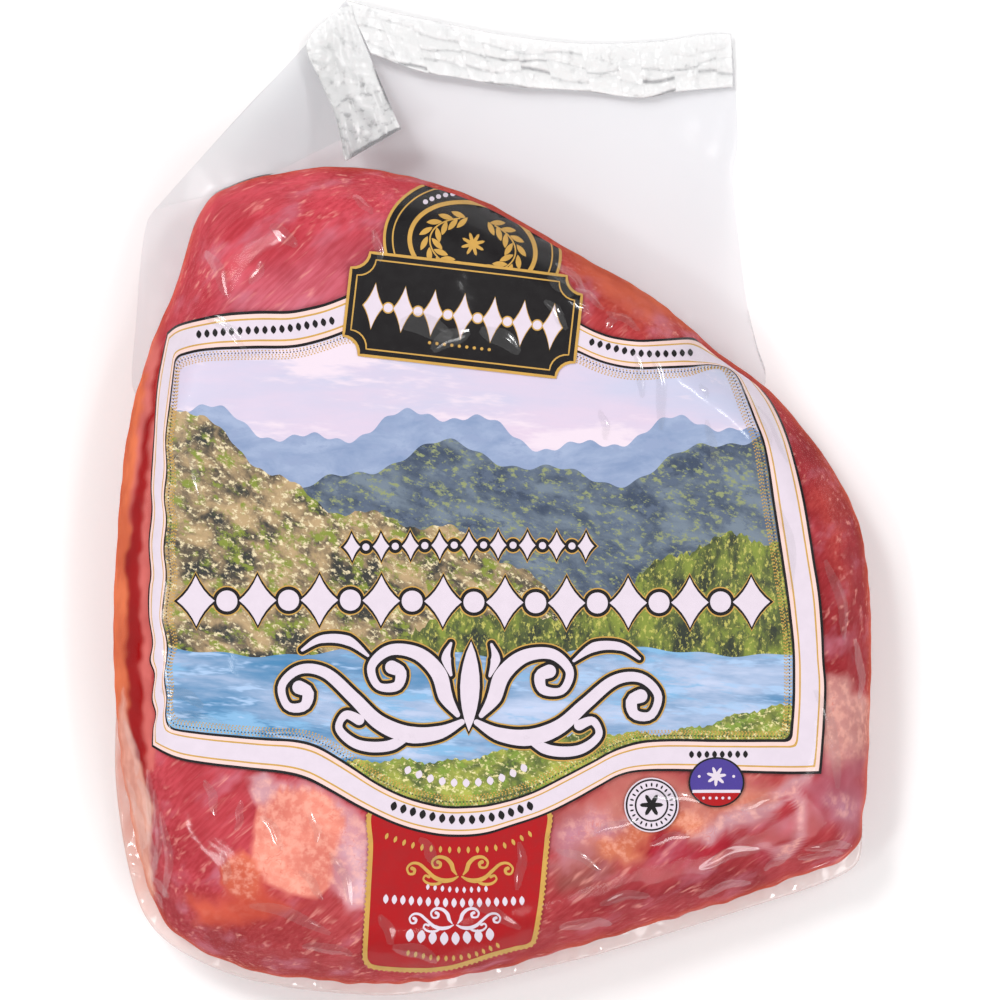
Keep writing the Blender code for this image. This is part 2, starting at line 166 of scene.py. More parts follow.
# Flesh, fat and silver skin of the cut, and painted light on its left side, in the order that
# they are painted: outline in pixels, colour, 1 for lean and 0 for fat, softness of its edge in mm
MEAT_FIELDS = (
    (((180, 150), (420, 150), (420, 350), (150, 350)), "#D8525F", 1.0, 14),
    (((215, 290), (400, 215), (440, 350), (200, 350)), "#CC6473", 1.0, 16),
    (((420, 150), (600, 220), (780, 370), (560, 340)), "#C14A4C", 1.0, 10),
    (((560, 232), (640, 270), (700, 322), (640, 318), (575, 268)), "#D8684C", 0.6, 9),
    (((795, 380), (880, 480), (880, 690), (815, 690)), "#AC3A40", 1.0, 6),
    (((830, 400), (850, 500), (846, 600), (820, 500)), "#C4504C", 1.0, 8),
    (((828, 684), (836, 677), (850, 676), (856, 690), (880, 700), (880, 770), (826, 790)),
     "#D89E97", 0.15, 3),
    (((820, 760), (880, 760), (870, 860), (800, 800)), "#BC6674", 0.5, 9),
    (((836, 792), (858, 800), (850, 838), (828, 822)), "#CE96A8", 0.1, 8),
    (((375, 830), (760, 780), (870, 850), (560, 980), (360, 980)), "#B8474C", 1.0, 10),
    (((560, 816), (640, 770), (720, 770), (800, 780), (740, 820), (650, 856), (560, 868)),
     "#C67A70", 0.35, 9),
    (((556, 826), (600, 812), (640, 822), (610, 846), (560, 860)), "#C78A98", 0.2, 8),
    (((596, 846), (640, 820), (700, 812), (706, 826), (650, 850), (610, 866)), "#DC8462", 0.1, 5),
    (((690, 836), (740, 806), (800, 776), (810, 790), (770, 820), (712, 850)), "#CDA0A8", 0.15, 6),
    (((700, 800), (760, 786), (780, 796), (730, 816)), "#D07C68", 0.3, 6),
    (((634, 846), (668, 832), (696, 846), (730, 836), (742, 850), (690, 872), (650, 866)),
     "#B22C3C", 1.0, 4),
    (((556, 864), (600, 856), (622, 878), (590, 896), (552, 888)), "#A4605A", 1.0, 9),
    (((600, 900), (720, 870), (790, 860), (740, 890), (640, 920)), "#A83F46", 1.0, 9),
    (((776, 792), (796, 786), (810, 806), (806, 840), (790, 864), (764, 866), (758, 846),
      (772, 846), (778, 852), (794, 842), (800, 812), (792, 800)), "#D0939A", 0.1, 1.6),
    (((780, 812), (790, 798), (798, 808), (798, 832), (788, 846), (777, 838)), "#BA434C", 1.0, 1.4),
    (((758, 862), (766, 848), (780, 862), (776, 872)), "#B24450", 1.0, 2.5),
    (((140, 740), (380, 740), (380, 980), (140, 980)), "#C84C56", 1.0, 8),
    (((160, 900), (375, 880), (375, 990), (220, 990)), "#BA4C50", 1.0, 12),
    (((180, 906), (260, 884), (300, 908), (250, 930), (190, 926)), "#D8604C", 0.4, 7),
    (((217, 870), (238, 852), (262, 862), (262, 884), (248, 903),
      (226, 892)), "#E2765A", 0.05, 2.5),
    (((253, 784), (304, 778), (345, 800), (372, 830), (370, 908), (345, 906), (330, 886),
      (256, 800)), "#DCA2AA", 0.05, 4),
    (((258, 806), (279, 789), (304, 786), (330, 794), (346, 817), (342, 842), (333, 866),
      (330, 886), (317, 897), (289, 893), (268, 883), (256, 868), (250, 852)), "#F09683", 0.0, 1.3),
    (((250, 778), (262, 772), (276, 796), (268, 812), (258, 800)), "#DDB0B8", 0.05, 2.5),
    (((348, 850), (372, 840), (372, 900), (356, 906)), "#DCB0BC", 0.05, 4),
    (((124, 360), (152, 330), (158, 380), (150, 480), (150, 620), (152, 770), (128, 790),
      (108, 700), (108, 500)), "#D8706A", 0.5, 1.5),
    # An orange painted reflection along the left edge, where the side turns steeply away
    (((144, 372), (134, 430), (126, 520), (125, 640), (131, 750), (128, 790), (100, 700),
      (100, 480), (126, 366)), "#EA7C50", 0.5, 2),
    # A deep red band on the steep left side: painted shade, and juice under the film
    (((154, 350), (146, 400), (134, 470), (122, 560), (121, 640), (125, 740), (140, 806),
      (146, 806), (138, 700), (136, 600), (141, 500), (150, 420), (160, 350)), "#A00004", 0.5, 1.9),
    (((118, 690), (128, 740), (138, 772), (147, 806), (147, 864), (149, 900), (140, 912),
      (118, 860), (108, 780)), "#F0B4A0", 0.3, 1.5),
)
EDGE_WANDER = 2.2  # how far the softest edges of those fields wander, in mm
SIDE_WANDER, SIDE_SOFTNESS = 9.0, 7.0  # added on the sides, which the photo doesn't show
PAINTED_RIM_LIGHT = "#E87852"  # painted light on the meat's widest edge: an orange tint on its steep sides
RIM_WIDTH = 12.0

# Printed frame: outer and inner edge, in pixels, section by section, with points on each
FRAME_SECTIONS = (
    (((164, 331), (176, 323), (202, 317), (227, 313), (258, 311), (289, 311), (312, 307),
      (330, 302), (355, 292)),
     ((174, 357), (202, 351), (253, 349), (294, 348), (324, 341), (349, 332)), 60),
    (((355, 292), (572, 318)), ((349, 332), (575, 351)), 40),
    (((572, 318), (593, 329), (613, 336), (639, 339), (667, 337), (692, 335), (705, 339),
      (720, 351), (756, 377)),
     ((575, 351), (603, 363), (634, 369), (667, 368), (692, 366), (713, 363), (733, 367),
      (741, 377)), 60),
    (((756, 377), (775, 400), (788, 428), (798, 462), (807, 502), (816, 559), (823, 605),
      (826, 661), (828, 695), (825, 750), (823, 775)),
     ((741, 377), (756, 420), (765, 446), (773, 502), (781, 553), (789, 610), (793, 650),
      (793, 700), (790, 740)), 110),
    (((823, 775), (790, 775), (756, 774), (689, 772), (645, 772), (622, 776), (602, 786),
      (573, 802), (546, 815), (517, 825), (484, 835), (453, 837), (428, 834), (399, 826),
      (362, 809), (330, 791), (306, 779), (282, 773), (245, 769), (202, 764), (173, 758),
      (150, 747)),
     ((790, 740), (720, 740), (651, 740), (618, 748), (591, 762), (562, 777), (529, 793),
      (495, 803), (466, 806), (439, 805), (406, 796), (377, 782), (350, 764), (318, 745),
      (294, 739), (270, 738), (221, 734), (182, 730), (168, 727)), 190),
    (((150, 747), (151, 730), (154, 715), (150, 699), (153, 676), (148, 661), (151, 643),
      (147, 615), (147, 590), (149, 574), (147, 543), (150, 510), (149, 482), (152, 431),
      (155, 380), (164, 331)), ((168, 727), (165, 712), (167, 697), (164, 677), (168, 651),
      (166, 634), (162, 619), (164, 600), (167, 575), (164, 549), (167, 520), (164, 498),
      (167, 470), (165, 440), (169, 405), (174, 357)), 120),
)
# Shares of the frame's width at which one ink gives way to the next, from the outside in. The
# white is in three strips, so that it follows the film.
FRAME_INKS = (
    (0.0, 0.08, "black"), (0.08, 0.19, "blush"), (0.19, 0.24, "gold"), (0.24, 0.41, "white"),
    (0.41, 0.59, "white"), (0.59, 0.76, "white"), (0.76, 0.81, "gold"), (0.81, 0.92, "blush"),
    (0.92, 1.0, "black"),
)


def linear(code):
    """An sRGB hex colour as linear red, green, blue and alpha."""
    parts = [int(code[i:i + 2], 16) / 255 for i in (1, 3, 5)]
    return (*[c / 12.92 if c <= 0.04045 else ((c + 0.055) / 1.055) ** 2.4 for c in parts], 1.0)


def even(count):
    return np.linspace(0, 1, count)


def smooth_curve(points, shares, closed=False):
    """Points at the given shares of the length of a smooth curve through the given points."""
    p = np.array(points, float)
    n = len(p)
    t = np.linspace(0, 1, 24, endpoint=False)[:, None]
    runs = []
    for i in range(n if closed else n - 1):
        if closed:
            a, b, c, d = (p[(i + k) % n] for k in (-1, 0, 1, 2))
        else:
            a, b, c, d = (p[min(max(i + k, 0), n - 1)] for k in (-1, 0, 1, 2))
        runs.append(
            0.5 * (2 * b + (c - a) * t + (2 * a - 5 * b + 4 * c - d) * t**2
                   + (3 * b - a - 3 * c + d) * t**3)
        )
    dense = np.vstack(runs + [p[:1] if closed else p[-1:]])
    along = np.concatenate([[0], np.cumsum(np.linalg.norm(np.diff(dense, axis=0), axis=1))])
    at = np.asarray(shares) * along[-1]
    return np.column_stack([np.interp(at, along, dense[:, k]) for k in range(p.shape[1])])


def smooth_step(t):
    t = np.clip(t, 0, 1)
    return t * t * (3 - 2 * t)


def from_photo(pixels, height=PRINT_HEIGHT):
    """Where the lines of sight through these pixels come down to a height, in mm."""
    p = np.atleast_2d(np.asarray(pixels, float))
    scale = PIXEL * (EYE[2] - height) / (EYE[2] - OUTLINE_HEIGHT)
    x = EYE[0] + (p[:, 0] - PHOTO_MIDDLE) * scale
    y = EYE[1] - (p[:, 1] - PHOTO_MIDDLE) * scale
    return np.column_stack([x, y])


def to_photo(x, y, height=PRINT_HEIGHT):
    """The pixels whose lines of sight come down on these points."""
    scale = PIXEL * (EYE[2] - height) / (EYE[2] - OUTLINE_HEIGHT)
    return PHOTO_MIDDLE + (x - EYE[0]) / scale, PHOTO_MIDDLE - (y - EYE[1]) / scale


def ripples(x, y, length, seed, waves=7):
    """A wandering surface of about the given wavelength, between -1 and 1."""
    draw = np.random.default_rng(seed)
    total = np.zeros_like(x, float)
    for _ in range(waves):
        heading, phase = draw.uniform(0, TURN, 2)
        step = TURN / (length * draw.uniform(0.7, 1.4))
        total = total + np.sin((x * math.cos(heading) + y * math.sin(heading)) * step + phase)
    return total / math.sqrt(waves) / 1.6


# Form of the filled part


def radius_table():
    offset = smooth_curve(FILLED_OUTLINE, even(TURN_STEPS)[:-1], closed=True) - MIDDLE
    angle = np.arctan2(offset[:, 1], offset[:, 0])
    return np.interp(ANGLES, angle, np.hypot(offset[:, 0], offset[:, 1]), period=TURN)


def softened(radii):
    weights = np.hanning(2 * CREST_SPREAD + 1) / CREST_SPREAD
    return np.convolve(np.tile(radii, 3), weights, "same")[TURN_STEPS:2 * TURN_STEPS]


ANGLES = np.linspace(-math.pi, math.pi, TURN_STEPS, endpoint=False)
RADII = radius_table()
CREST_RADII = softened(RADII)


def outline_radius(angle):
    return np.interp(angle, ANGLES, RADII, period=TURN)


def ring_radius(angle, reach):
    soft = np.interp(angle, ANGLES, CREST_RADII, period=TURN)
    return soft + (outline_radius(angle) - soft) * reach**3


def slab_top(x, y):
    away = np.hypot(x - MIDDLE[0], y - MIDDLE[1]) / CROWN_RADIUS
    top = SLAB_TOP + CROWN * (1 - away**2) - THIN_TO_RIGHT * x
    for centre_x, centre_y, height, radius in SWELLINGS:
        top = top + height * np.exp(-((x - centre_x) ** 2 + (y - centre_y) ** 2) / radius**2)
    return top


def disc_grid(half):
    """Cells of a square grid bent into a disc: ring number and angle of each point."""
    steps = np.arange(-half, half + 1)
    u, v = np.meshgrid(steps, steps, indexing="ij")
    ring = np.maximum(abs(u), abs(v))
    safe = np.maximum(ring, 1)
    side = np.where(abs(u) >= abs(v), v * np.sign(np.where(u == 0, 1, u)), 0) / safe
    other = np.where(abs(u) < abs(v), u * np.sign(np.where(v == 0, 1, v)), 0) / safe
    angle = np.where(
        abs(u) >= abs(v),
        side * math.pi / 4 + np.where(u < 0, math.pi, 0),
        math.pi / 2 - other * math.pi / 4 + np.where(v < 0, math.pi, 0),
    )
    return ring, angle


def shoulder(ring, start):
    flat = np.minimum(ring / FLAT_RINGS, 1) * start
    turn = np.clip((ring - FLAT_RINGS) / SHOULDER_RINGS, 0, 1) * math.pi / 2
    return flat + (1 - start) * np.sin(turn), np.cos(turn)


def filled_form(detail):
    """Points and quads of the filled part: an upper and a lower disc grid that share a rim."""
    half = detail * (FLAT_RINGS + SHOULDER_RINGS)
    side = 2 * half + 1
    ring, angle = disc_grid(half)
    layers = []
    for start in (TOP_SHOULDER, FOOT_SHOULDER):
        reach, height = shoulder(ring / detail, start)
        radius = ring_radius(angle, reach) * reach
        x = MIDDLE[0] + radius * np.cos(angle)
        y = MIDDLE[1] + radius * np.sin(angle)
        layers.append((x, y, height))
    x, y, height = layers[0]
    upper = np.stack([x, y, SEAM_PLANE + height * (slab_top(x, y) - SEAM_PLANE)], -1)
    x, y, height = layers[1]
    lower = np.stack([x, y, SEAM_PLANE * (1 - height)], -1)[1:-1, 1:-1]
    index = np.arange(side * side).reshape(side, side)
    below = index.copy()
    below[1:-1, 1:-1] = side * side + np.arange((side - 2) ** 2).reshape(side - 2, side - 2)
    quads = [
        np.stack([g[:-1, :-1], g[1:, :-1], g[1:, 1:], g[:-1, 1:]], -1).reshape(-1, 4)
        for g in (index, below)
    ]
    points = np.vstack([upper.reshape(-1, 3), lower.reshape(-1, 3)])
    return points, np.vstack([quads[0], quads[1][:, ::-1]])


# Meshes


def new_mesh(name, points, faces, materials, ink=None, smooth=True):
    """An object at the origin, from points in mm. ink gives each face's material number."""
    mesh = bpy.data.meshes.new(name)
    mesh.from_pydata((np.asarray(points, float) * MM).tolist(), [], np.asarray(faces).tolist())
    for made in materials:
        mesh.materials.append(made)
    if ink is not None:
        mesh.polygons.foreach_set("material_index", np.asarray(ink, np.int32))
    if smooth:
        mesh.shade_smooth()
    mesh.update()
    made = bpy.data.objects.new(name, mesh)
    bpy.context.scene.collection.objects.link(made)
    return made


def points_of(piece):
    co = np.empty(len(piece.data.vertices) * 3, np.float32)
    piece.data.vertices.foreach_get("co", co)
    return co.reshape(-1, 3).astype(float) / MM


def move_points(piece, points):
    piece.data.vertices.foreach_set("co", (np.asarray(points) * MM).astype(np.float32).ravel())
    piece.data.update()


def normals_of(piece):
    normal = np.empty(len(piece.data.vertices) * 3, np.float32)
    piece.data.vertices.foreach_get("normal", normal)
    return normal.reshape(-1, 3).astype(float)


def add_number(piece, name, values):
    attribute = piece.data.attributes.new(name, "FLOAT", "POINT")
    attribute.data.foreach_set("value", np.asarray(values, np.float32))


def add_colour(piece, name, values):
    attribute = piece.data.attributes.new(name, "FLOAT_COLOR", "POINT")
    attribute.data.foreach_set("color", np.asarray(values, np.float32).ravel())


def sheet(name, plan, height, thickness, film):
    """A closed thin sheet over a grid of points, with its middle at the given heights."""
    rows, columns = height.shape
    flat = plan.reshape(-1, 2)
    sides = [np.column_stack([flat, (height + s * thickness / 2).ravel()]) for s in (1, -1)]
    under = rows * columns
    index = np.arange(under).reshape(rows, columns)
    cells = np.stack(
        [index[:-1, :-1], index[:-1, 1:], index[1:, 1:], index[1:, :-1]], -1
    ).reshape(-1, 4)
    rim = np.concatenate([index[0, :-1], index[:-1, -1], index[-1, :0:-1], index[:0:-1, 0]])
    following = np.roll(rim, -1)
    walls = np.stack([following, rim, rim + under, following + under], -1)
    faces = np.vstack([cells, cells[:, ::-1] + under, walls])
    first = np.vstack(sides)[cells[0]]
    if np.cross(first[1] - first[0], first[3] - first[0])[2] < 0:
        faces = faces[:, ::-1]
    return new_mesh(name, np.vstack(sides), faces, [film])


def between(first, last, rows):
    share = even(rows)[:, None, None]
    return first[None] * (1 - share) + last[None] * share


# Materials


def add(tree, kind, inputs=None, **settings):
    """Adds a node with its settings, and gives its inputs values or links to other nodes."""
    made = tree.nodes.new(kind)
    for name, value in settings.items():
        setattr(made, name, value)
    for key, value in (inputs or {}).items():
        if isinstance(value, bpy.types.Node):
            value = next(socket for socket in value.outputs if socket.enabled)
        if isinstance(value, bpy.types.NodeSocket):
            tree.links.new(value, made.inputs[key])
        else:
            made.inputs[key].default_value = value
    return made


FACTOR, MIX_A, MIX_B = 0, 6, 7  # sockets of a colour Mix node
SMOOTH = {"interpolation_type": "SMOOTHSTEP"}
FILM_IOR = 1.5
PLAIN = (1.0, 1.0, 1.0)  # a pattern that isn't stretched


def blank_material(name):
    made = bpy.data.materials.new(name)
    made.use_nodes = True
    made.node_tree.nodes.clear()
    return made, made.node_tree


def painted(made, colour, roughness, gloss):
    """The material, ended with one opaque shader."""
    tree = made.node_tree
    shader = add(tree, "ShaderNodeBsdfPrincipled",
                 {"Base Color": colour, "Roughness": roughness, "Specular IOR Level": gloss})
    add(tree, "ShaderNodeOutputMaterial", {"Surface": shader})
    return made


def sized(place, size, detail=3.0, rough=0.55, distortion=0.0):
    """What a noise is given for lumps about size mm across."""
    return {"Vector": place, "Scale": 1 / (size * MM), "Detail": detail, "Roughness": rough,
            "Distortion": distortion}


def stretched(tree, place, turn, stretch):
    """Coordinates turned by an angle, then scaled along the new axes."""
    turned = add(tree, "ShaderNodeMapping", {"Vector": place, "Rotation": (0, 0, turn)})
    return add(tree, "ShaderNodeMapping", {"Vector": turned, "Scale": stretch})


def patches(tree, place, size, low, high, **noise):
    """Patches about size mm across, which come up smoothly as a noise goes from low to high."""
    lumps = add(tree, "ShaderNodeTexNoise", sized(place, size, **noise))
    return add(tree, "ShaderNodeMapRange", {"Value": lumps, "From Min": low, "From Max": high},
               **SMOOTH)


def veins(tree, place, size, width, **noise):
    """Thin wandering lines, where a noise passes its middle value."""
    lumps = add(tree, "ShaderNodeTexNoise", sized(place, size, **noise))
    off = add(tree, "ShaderNodeMath", {0: lumps, 1: 0.5}, operation="SUBTRACT")
    away = add(tree, "ShaderNodeMath", {0: off}, operation="ABSOLUTE")
    return add(tree, "ShaderNodeMapRange", {"Value": away, "From Min": width, "From Max": 0.0},
               **SMOOTH)


def laid_over(tree, colour, tint, *shares, blend="MIX"):
    """A colour with a tint laid over it, as much as the product of the shares says."""
    share = shares[0]
    for other in shares[1:]:
        share = add(tree, "ShaderNodeMath", {0: share, 1: other}, operation="MULTIPLY")
    return add(tree, "ShaderNodeMix", {FACTOR: share, MIX_A: colour, MIX_B: tint},
               data_type="RGBA", blend_type=blend)


def beef():
    """Raw brisket: wet muscle fibre with threads of fat, under tight film.

    The eye sees fields of lean, fat and silver skin, pale threads that run with the grain,
    a faint fibre between them, and lumps with thin red veins in the fat.
    """
    made, tree = blank_material("raw beef")
    place = add(tree, "ShaderNodeTexCoord").outputs["Object"]
    field = add(tree, "ShaderNodeAttribute", attribute_name="flesh").outputs["Color"]
    kind = add(tree, "ShaderNodeAttribute", attribute_name="lean").outputs["Fac"]
    lean, fat = (
        add(tree, "ShaderNodeMapRange", {"Value": kind, "From Min": low, "From Max": high},
            **SMOOTH)
        for low, high in ((0.5, 0.9), (0.5, 0.1))
    )
    cloud = add(tree, "ShaderNodeTexNoise", sized(place, 15.0))
    dark, veined = (
        add(tree, "ShaderNodeMapRange", {"Value": cloud, "From Min": low, "From Max": high},
            **SMOOTH)
        for low, high in ((0.7, 0.3), (0.42, 0.6))
    )
    colour = laid_over(tree, field, linear("#E0CACC"), dark, blend="MULTIPLY")
    # Muscle fibre is about 0.1 mm thick, and is drawn at 0.9 mm so that it shows
    across = stretched(tree, place, math.radians(-44), (0.1, 1.0, 1.0))
    fibre = patches(tree, across, 0.9, 0.7, 0.3, detail=1.0)
    colour = laid_over(tree, colour, linear("#ECD8D8"), fibre, lean, blend="MULTIPLY")
    # Silver skin in thin patches, about 10 mm wide
    skin = patches(tree, stretched(tree, place, math.radians(-34), (0.5, 1.0, 1.0)), 9.0, 0.5, 0.75)
    colour = laid_over(tree, colour, linear("#CF8496"), lean, skin, 0.5)
    # Threads of fat, 1 to 2 mm wide, that run with the grain where the meat is streaked
    with_grain = stretched(tree, place, math.radians(-40), (0.17, 1.0, 1.0))
    threads = patches(tree, with_grain, 1.7, 0.54, 0.74, detail=2.0, distortion=0.2)
    streaked = patches(tree, place, 8.0, 0.38, 0.64, detail=2.0)
    colour = laid_over(tree, colour, linear("#F2A69A"), threads, streaked, lean, 0.62)
    # Lobes of the fat, 2 to 3 mm wide, with paler patches painted on them as lit tops, and the red
    # veins between them
    lumps = patches(tree, place, 2.4, 0.4, 0.66, rough=0.6)
    colour = laid_over(tree, colour, linear("#FFC0AC"), fat, lumps, 0.4)
    thin = veins(tree, place, 5.0, 0.018, detail=2.0, distortion=1.4)
    colour = laid_over(tree, colour, linear("#D06A5C"), thin, veined, fat, 0.55)
    return painted(made, colour, 0.5, 0.0)


def clear_film(name, clear, shine, gleam, rough=0.1, uneven=0.0, haze=0.0):
    """Blown multilayer film, clear and glossy.

    Light passes straight through it, a little of it is lost, and its skin gives the small
    bright glints. shine scales what the skin reflects and gleam is the most of it, uneven
    is the depth of its slight waves in mm, and haze the share of milky scatter, as where film
    is gathered. Meat juice in the gathers makes them pink.
    """
    made, tree = blank_material(name)
    body = add(tree, "ShaderNodeBsdfTransparent", {"Color": linear(clear)})
    if haze:
        juice = add(tree, "ShaderNodeAttribute", attribute_name="juice").outputs["Fac"]
        tint = laid_over(tree, linear("#F9EAE5"), linear("#F0BCAE"), juice)
        milk = add(tree, "ShaderNodeBsdfDiffuse", {"Color": tint})
        thick = add(tree, "ShaderNodeMapRange", {"Value": juice, "To Min": haze, "To Max": 0.75},
                    **SMOOTH)
        body = add(tree, "ShaderNodeMixShader", {0: thick, 1: body, 2: milk})
    facing = {}
    if uneven:
        place = add(tree, "ShaderNodeTexCoord").outputs["Object"]
        lie = stretched(tree, place, 0.6, (0.6, 1.0, 1.0))
        slight = add(tree, "ShaderNodeTexNoise", sized(lie, 2.6, detail=1.0))
        waves = {"Height": slight, "Distance": uneven * MM, "Strength": 1.0}
        facing["Normal"] = add(tree, "ShaderNodeBump", waves)
    skin = add(tree, "ShaderNodeBsdfGlossy", {"Roughness": rough, **facing})
    mirrored = add(tree, "ShaderNodeFresnel", {"IOR": FILM_IOR, **facing})
    share = add(tree, "ShaderNodeMath", {0: mirrored, 1: shine}, operation="MULTIPLY")
    share = add(tree, "ShaderNodeMath", {0: share, 1: gleam}, operation="MINIMUM")
    whole = add(tree, "ShaderNodeMixShader", {0: share, 1: body, 2: skin})
    add(tree, "ShaderNodeOutputMaterial", {"Surface": whole})
    return made


def creased_film(name, shade, clear_share):
    """Film welded in a heat seal: crumpled, so that it is white, with painted grey shade where it
    creases and crumples.
    """
    made, tree = blank_material(name)
    place = add(tree, "ShaderNodeTexCoord").outputs["Object"]
    # Painted shade: grey where the film creases and crumples
    crease_and_shade = add(tree, "ShaderNodeAttribute", attribute_name="crease_and_shade").outputs["Fac"]
    crumple = add(tree, "ShaderNodeTexNoise", sized(place, 2.4, detail=2.0, rough=0.6))
    crumple_shade = {"Value": crumple, "From Min": 0.5, "From Max": 0.75, "To Max": 0.3}
    crumple_shade = add(tree, "ShaderNodeMapRange", crumple_shade, **SMOOTH)
    depth = add(tree, "ShaderNodeMath", {0: crease_and_shade, 1: crumple_shade}, operation="ADD")
    painted_shade = add(tree, "ShaderNodeMapRange", {"Value": depth, "From Min": 0.1, "From Max": 1.1},
               **SMOOTH)
    relief = {"Height": crumple, "Distance": 0.35 * MM, "Strength": 1.0}
    film = add(tree, "ShaderNodeBsdfPrincipled", {
        "Base Color": laid_over(tree, linear("#FFFFFF"), linear(shade), painted_shade),
        "Roughness": 0.22, "IOR": FILM_IOR, "Normal": add(tree, "ShaderNodeBump", relief),
    })
    through = add(tree, "ShaderNodeBsdfTransparent", {"Color": linear("#F8F8F8")})
    whole = add(tree, "ShaderNodeMixShader", {0: clear_share, 1: film, 2: through})
    add(tree, "ShaderNodeOutputMaterial", {"Surface": whole})
    return made


def printed_ink(name, code, mottle):
    """Gravure ink on the inside of film: flat colour, a little thinner in places."""
    made, tree = blank_material(name)
    place = add(tree, "ShaderNodeTexCoord").outputs["Object"]
    base = linear(code)
    worn = (*[min(1.0, c * (1 - mottle) + 0.004) for c in base[:3]], 1.0)
    colour = laid_over(tree, base, worn, patches(tree, place, 3.0, 0.3, 0.7))
    return painted(made, colour, 0.45, 0.12)


def picture_ink(name, codes, size, stretch, turn=0.0, contrast=0.2, specks=None):
    """A field of the printed scene: three inks that run into each other in patches."""
    made, tree = blank_material(name)
    place = add(tree, "ShaderNodeTexCoord").outputs["Object"]
    lie = stretched(tree, place, turn, stretch)
    broad = patches(tree, lie, size, 0.5 - contrast, 0.5 + contrast, detail=6.0, rough=0.62,
                    distortion=0.3)
    colour = laid_over(tree, linear(codes[0]), linear(codes[1]), broad)
    small = patches(tree, stretched(tree, lie, 0.7, PLAIN), size * 0.45, 0.5, 0.62, detail=5.0,
                    rough=0.7)
    colour = laid_over(tree, colour, linear(codes[2]), small)
    if specks:
        fine = patches(tree, lie, size * 0.16, 0.52, 0.66, rough=0.7)
        colour = laid_over(tree, colour, linear(specks), fine)
    return painted(made, colour, 0.4, 0.3)


def matte_floor():
    """Seamless white paper, as in a studio."""
    made, tree = blank_material("white paper floor")
    place = add(tree, "ShaderNodeTexCoord").outputs["Object"]
    tooth = add(tree, "ShaderNodeTexNoise", sized(place, 1.0, detail=2.0))
    colour = laid_over(tree, linear("#FBFBFB"), linear("#FDFDFD"), tooth)
    return painted(made, colour, 0.9, 0.1)


# The meat and the film on it


def bridged(x, y):
    """Height of the broad swells of the film at these points, in mm."""
    total = np.zeros_like(x)
    for middle, radius, height in BRIDGES:
        (a, b), = from_photo([middle])
        total += height * np.exp(-((x - a) ** 2 + (y - b) ** 2) / radius**2)
    return total


PLEAT_DEPTH, PLEATS_ROUND, PLEAT_GROUPS = 0.32, 61, 23
PLEATS_FROM, PLEATS_OVER = 0.86, 0.12  # shares of the outline at which the pleats rise
PLEATS_ABOVE, LOW_FROM, LOW_OVER = 0.3, 40, 60  # the share of them above the lower end
FILM_WAVES = ((0.14, 13, 1), (0.05, 6, 2))  # height and length in mm, and seed
TABLE_FROM, TABLE_OVER = 0.4, 4.0  # the film is flat where it lies on the table


def pleats(x, y):
    """Small folds where the film gathers round the lower edge and its corners."""
    angle = np.arctan2(y - MIDDLE[1], x - MIDDLE[0])
    share = np.hypot(x - MIDDLE[0], y - MIDDLE[1]) / outline_radius(angle)
    bent = angle * PLEATS_ROUND + 3 * np.sin(angle * 7)
    wave = np.sin(bent) * np.sin(angle * PLEAT_GROUPS + 1)
    near = smooth_step((share - PLEATS_FROM) / PLEATS_OVER)
    low = PLEATS_ABOVE + (1 - PLEATS_ABOVE) * smooth_step((-y - LOW_FROM) / LOW_OVER)
    return PLEAT_DEPTH * near * low * wave


def film_over_meat(film):
    points, quads = filled_form(DETAIL)
    piece = new_mesh("film_over_meat", points, quads, [film])
    x, y, z = points.T
    out = sum(height * ripples(x, y + z, length, seed) for height, length, seed in FILM_WAVES)
    out = out + pleats(x, y) + np.where(z > SEAM_PLANE, bridged(x, y), 0)
    off_table = smooth_step((z - TABLE_FROM) / TABLE_OVER)
    move_points(piece, points + normals_of(piece) * (out * off_table)[:, None])
    return piece


def depth_inside(x, y, outline):
    """Distance from a closed outline, which is below zero outside it."""
    away = np.full(len(x), np.inf)
    for (ax, ay), (bx, by) in zip(outline, np.roll(outline, -1, axis=0)):
        t = ((x - ax) * (bx - ax) + (y - ay) * (by - ay)) / ((bx - ax) ** 2 + (by - ay) ** 2)
        t = np.clip(t, 0, 1)
        away = np.minimum(away, np.hypot(x - ax - t * (bx - ax), y - ay - t * (by - ay)))
    return np.where(inside(np.column_stack([x, y]), np.array(outline)), away, -away)


PLAIN_LEAN = "#C2484E"
GRAIN_RELIEF = 0.5  # rise and fall of the meat along its grain
FIELDS_FROM, FIELDS_OVER = 0.4 * SEAM_PLANE, 9.0  # heights at which the fields give way to it
SIDE_FROM, SIDE_OVER = SEAM_PLANE + 3, 10.0  # and those of the side, which the camera misses
PAINTED_RIM_SHARE, PAINTED_RIM_LEVEL, PAINTED_RIM_OVER = 0.6, 0.42, 0.34  # share of the painted rim light, and where it starts as the edge turns


